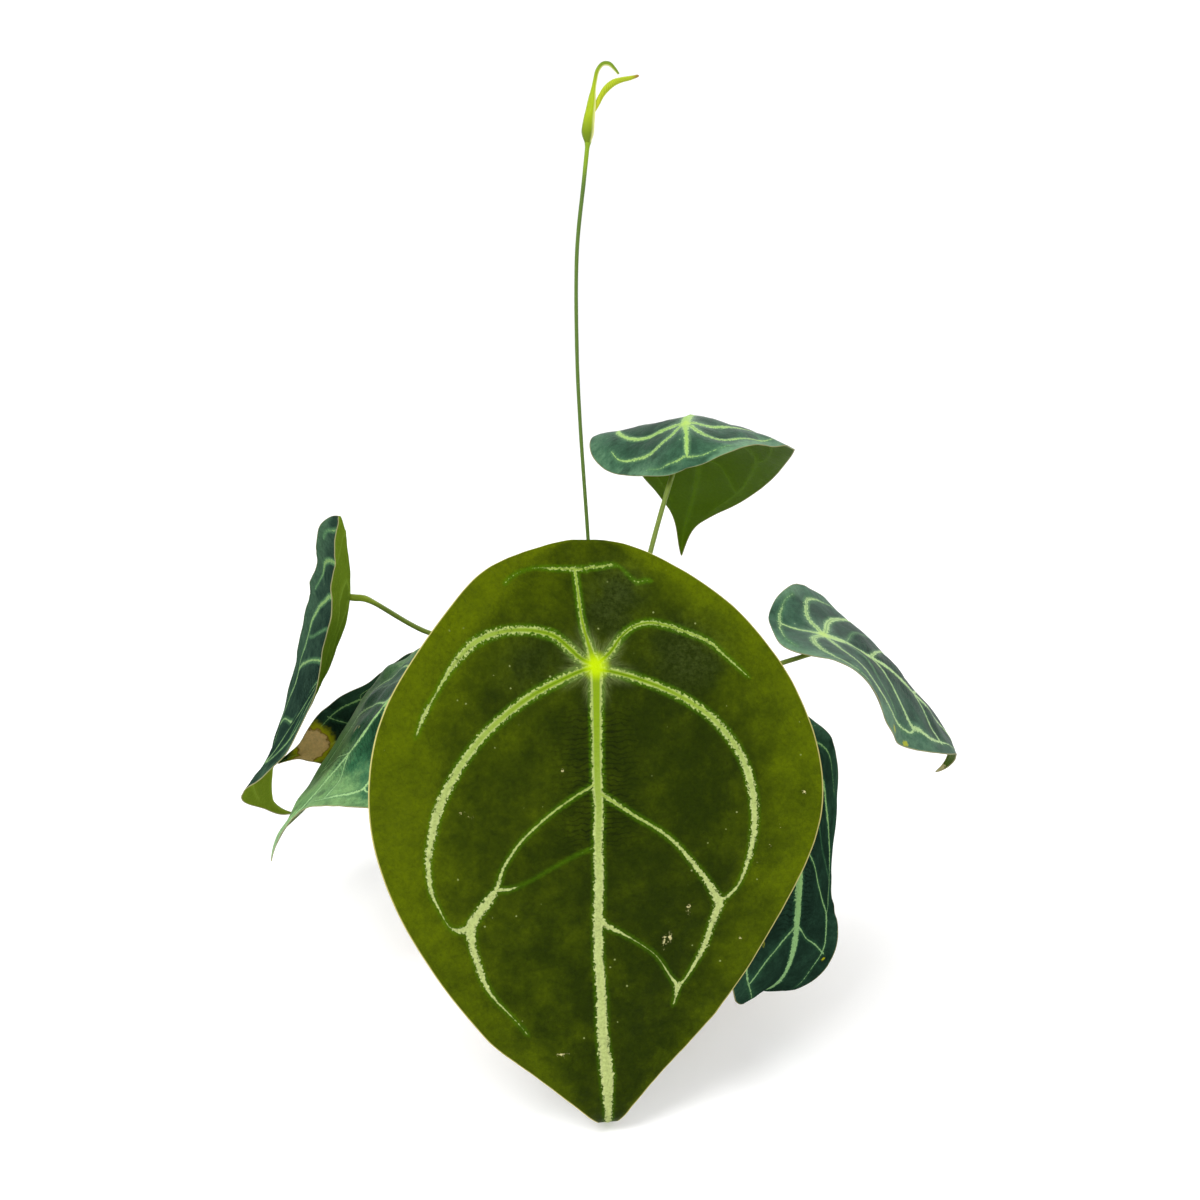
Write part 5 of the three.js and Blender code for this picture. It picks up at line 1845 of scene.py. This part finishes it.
def turned_at_random(random):
    """A turn about Z by any angle, after a slight tilt about X and a slight lean about Y."""
    yaw, pitch, roll = random.uniform(0, 2 * np.pi), random.normal(0, TILT), random.normal(0, TILT)
    turn = np.array([[np.cos(yaw), -np.sin(yaw), 0], [np.sin(yaw), np.cos(yaw), 0], [0, 0, 1]])
    tilt = np.array([[1, 0, 0], [0, np.cos(pitch), -np.sin(pitch)], [0, np.sin(pitch), np.cos(pitch)]])
    lean = np.array([[np.cos(roll), 0, np.sin(roll)], [0, 1, 0], [-np.sin(roll), 0, np.cos(roll)]])
    return turn @ tilt @ lean


def chip_shells(random, count, sizes, flatness, boxy, rough, near, rows=8, sides=12):
    """count small blocks on the soil, each a ball squared off by boxy and dented by rough.

    A point of the ball in direction d lies at d over the length of |d| to the power boxy.
    """
    v = np.linspace(0.02, np.pi - 0.02, rows)[:, None]
    u = np.linspace(0, 2 * np.pi, sides, endpoint=False)[None, :]
    way = about_z(np.sin(v), u, np.cos(v))
    shape = way / (np.abs(way) ** boxy).sum(-1, keepdims=True) ** (1 / boxy)
    shells = []
    for number in range(count):
        size = random.uniform(*sizes)
        long, wide = random.uniform(0.9, 1.7), random.uniform(0.6, 1.0)
        stretch = size * np.array([long, wide, random.uniform(*flatness)])
        dents = 1 + rough * waves(way + number, 1.4, number + 7, 6)[..., None]
        spin = turned_at_random(random)
        away = np.sqrt(random.uniform((near / edge_radius) ** 2, 0.93 - 0.3 * size / edge_radius))
        bearing = random.uniform(0, 2 * np.pi)
        middle = about_z(away * (edge_radius - size), bearing, 0.0)
        middle[2] = soil_height(middle[0], middle[1]) + stretch[2] * random.uniform(0.1, 0.55) - SUNK
        rings = (shape * dents * stretch) @ spin.T + middle
        shells.append(closed_rings(rings[::-1]))
    return gathered(shells)


def chip_finish(name, dark, light, grain, roughness, bumpiness):
    """Grained blocks with light and dark patches, so no two neighbours look alike."""
    made = Finish(name, Specular_IOR_Level=0.25)
    spot = made.place()
    fine = made.noise(spot, grain, 5.0, 0.7, 0.5)
    broad = made.noise(spot, 110.0, 1.0)
    tint = made.mix(dark, light, (fine * 0.7 + broad * 0.8).step(0.5, 1.0))
    return made.finish(
        Base_Color=tint, Roughness=roughness + fine * 0.1, Normal=made.bump(fine, bumpiness * MM))


# %% Bark, perlite and charcoal
random = np.random.default_rng(8622)
bark = chip_shells(random, 190, (2.0, 5.2), (0.25, 0.55), 3.2, 0.1, 15)
perlite = chip_shells(random, 120, (0.9, 2.1), (0.7, 1.0), 2.2, 0.16, 14)
charcoal = chip_shells(random, 36, (1.4, 3.0), (0.5, 0.8), 4.0, 0.12, 15)

bark_finish = chip_finish("bark", colour(46, 31, 22), colour(134, 100, 68), 500.0, 0.75, 0.6)
perlite_finish = chip_finish(
    "perlite", colour(196, 192, 182), colour(236, 234, 228), 900.0, 0.8, 0.4)
charcoal_finish = chip_finish("charcoal", colour(18, 17, 17), colour(48, 46, 46), 700.0, 0.55, 0.5)

make_piece("bark_chips", *bark, bark_finish, "soil", crease=48)
make_piece("perlite", *perlite, perlite_finish, "soil")
make_piece("charcoal", *charcoal, charcoal_finish, "soil", crease=35)

# %% [markdown]
# ## The clay pot
#
# Clay is matte and uneven, pinker where it is dry, with faint rings from the wheel. Salts
# from the water leave a pale bloom low on the wall and below the rim. A wrapped picture
# would show a seam and stretch at the rim, so this finish also follows the place in space.

# %% Clay finish
clay_finish = Finish("clay", Specular_IOR_Level=0.28)
here = clay_finish.place()
_, _, level = clay_finish.parts(here)
cloud = clay_finish.noise(here, 22.0, 4.0, 0.55)
grit = clay_finish.noise(here, 800.0, 4.0, 0.7)
rings_way = clay_finish.node("CombineXYZ", {0: 0.0, 1: 0.0, 2: level * 260.0 + cloud * 3.0})
throwing = clay_finish.noise(rings_way, 1.0, 2.0, 0.6)
salt = clay_finish.noise(here, 60.0, 6.0, 0.7, 0.6)
skin = clay_finish.mix(colour(150, 82, 56), colour(190, 116, 84), cloud.step(0.3, 0.7))
skin = clay_finish.scaled(skin, grit * 0.3 + throwing * 0.14 + 0.78)
low_band = (level * 1000.0 + cloud * 24.0).step(50, 12)
rim_band = abs(level * 1000.0 - 96.0 + cloud * 6.0).step(11, 3)
skin = clay_finish.mix(skin, colour(214, 190, 168), low_band.most(rim_band) * salt.step(0.45, 0.7) * 0.6)
clay_finish.finish(
    Base_Color=skin, Roughness=0.82 + grit * 0.1,
    Normal=clay_finish.bump(grit * 0.3 + throwing * 0.5, 0.7 * MM))

# %% [markdown]
# ## Make the pot
#
# The pot was thrown or pressed on a wheel: a tapered wall and a thick rim. Its profile is
# turned in fine steps with rounded corners, which a bevel modifier could also give, but
# not with the faint rings on top. Three drain holes are then cut from the floor, as a
# potter does, with drills and a boolean.

# %% Pot profile
CORNER_REACH = 3.2
PROFILE_PACE = 2.6


def rounded(corners, bevel, steps=6):
    """A profile with its corners rounded by (1-t)² enter + 2t(1-t) corner + t² leave.

    A rounding starts and ends bevel away from its corner, or less where a leg is short.
    """
    corners = np.asarray(corners, float)
    parts = [corners[:1]]
    for before, corner, after in zip(corners[:-2], corners[1:-1], corners[2:]):
        back, ahead = before - corner, after - corner
        reach = min(bevel, 0.45 * np.linalg.norm(back), 0.45 * np.linalg.norm(ahead))
        enter, leave = corner + unit(back) * reach, corner + unit(ahead) * reach
        t = np.linspace(0, 1, steps)[:, None]
        parts.append((1 - t) ** 2 * enter + 2 * t * (1 - t) * corner + t**2 * leave)
    return np.vstack([*parts, corners[-1:]])


def filled_in(profile, pace):
    """The same profile with extra points, so that no upright leg is longer than pace."""
    pieces = []
    for a, b in zip(profile[:-1], profile[1:]):
        upright = abs(b[1] - a[1]) > abs(b[0] - a[0])
        count = max(1, int(np.ceil(np.linalg.norm(b - a) / pace))) if upright else 1
        pieces.append(a + (b - a) * np.arange(count)[:, None] / count)
    return np.vstack([*pieces, profile[-1:]])


def throwing_marks(radius, angle, height):
    """Faint rings from the wheel, and a slight unevenness all round."""
    marks = 0.12 * np.sin(height * 1.9 + 1.5 * np.sin(angle)) * ramp(4, 12, height)
    uneven = 0.25 * waves(about_z(40, angle, height), 60, 12)
    return (marks + uneven) * ramp(30, 46, radius)


lip = POT["height"] - POT["rim_height"]
inner_foot = pot_outer(POT["floor"]) - POT["wall"]
corners = [
    (0.5, 0), (POT["foot"], 0), (POT["under_rim"], lip), (POT["rim"], lip), (POT["rim"], POT["height"]),
    (POT["rim"] - POT["wall"], POT["height"]), (POT["under_rim"] - POT["wall"], lip - 2),
    (inner_foot, POT["floor"]), (0.5, POT["floor"]),
]
profile = filled_in(rounded(corners, CORNER_REACH), PROFILE_PACE)
print("the pot's profile has", len(profile), "points")

# %% Make the pot
POT_SIDES = 200
DRAIN = dict(radius=4.5, circle=26, count=3, sides=31)
# The drills stand a hair off the pot's own radial edges, which keeps the cut clean.
OFF_THE_GRID = 0.012
POT_EDGE = math.radians(40)

pot = make_piece(
    "clay_pot", *turned(profile, POT_SIDES, throwing_marks), clay_finish.material, "clay", ["pot"])
drills = []
for number in range(DRAIN["count"]):
    turn = 2 * np.pi * (number + 0.5) / DRAIN["count"] + OFF_THE_GRID
    points, faces = turned([(DRAIN["radius"], -5), (DRAIN["radius"], 15)], DRAIN["sides"])
    drills.append((points + about_z(DRAIN["circle"], turn, 0), faces))
drill = make_piece("drill", *gathered(drills), clay_finish.material, "clay")
cut = pot.modifiers.new("drains", "BOOLEAN")
cut.object = drill
cut.operation = "DIFFERENCE"
apply_modifiers(pot).set_sharp_from_angle(angle=POT_EDGE)
bpy.data.objects.remove(drill)

# %% [markdown]
# ## The stage
#
# A photographer's sweep: a flat white floor that curves up into a wall all round, so no
# edge shows behind the plant. It glows faintly, which keeps it near white in the shadows.
# A plain white background could not catch the soft shadow that grounds the pot.

# %% Stage
bowl_finish = Finish(
    "stage", Roughness=0.9, Specular_IOR_Level=0.1, Base_Color=(0.86, 0.86, 0.86, 1),
    Emission_Color=(1, 1, 1, 1), Emission_Strength=0.2,
)
FLOOR_RADIUS = 2200
COVE_RADIUS = 1300
WALL_TOP = 2600
BOWL_SIDES = 96
arc_angle = np.linspace(0, np.pi / 2, 24)
cove = np.stack([np.sin(arc_angle), 1 - np.cos(arc_angle)], -1) * COVE_RADIUS + [FLOOR_RADIUS, 0]
bowl_profile = np.vstack([[(1, 0)], cove, [(FLOOR_RADIUS + COVE_RADIUS, WALL_TOP)]])
angle = np.linspace(0, 2 * np.pi, BOWL_SIDES, endpoint=False)
rings = about_z(bowl_profile[:, :1], angle, bowl_profile[:, 1:])
walls = grid_faces(len(bowl_profile), BOWL_SIDES, wrap=True)
mesh = bpy.data.meshes.new("studio_bowl")
mesh.from_pydata(
    (rings.reshape(-1, 3) * MM).tolist(), [], [*walls.tolist(), list(range(BOWL_SIDES))])
mesh.shade_smooth()
bowl = bpy.data.objects.new("studio_bowl", mesh)
mesh.materials.append(bowl_finish.material)
bpy.context.scene.collection.objects.link(bowl)
print("stage", 2 * (FLOOR_RADIUS + COVE_RADIUS) * MM, "m wide")

# %% [markdown]
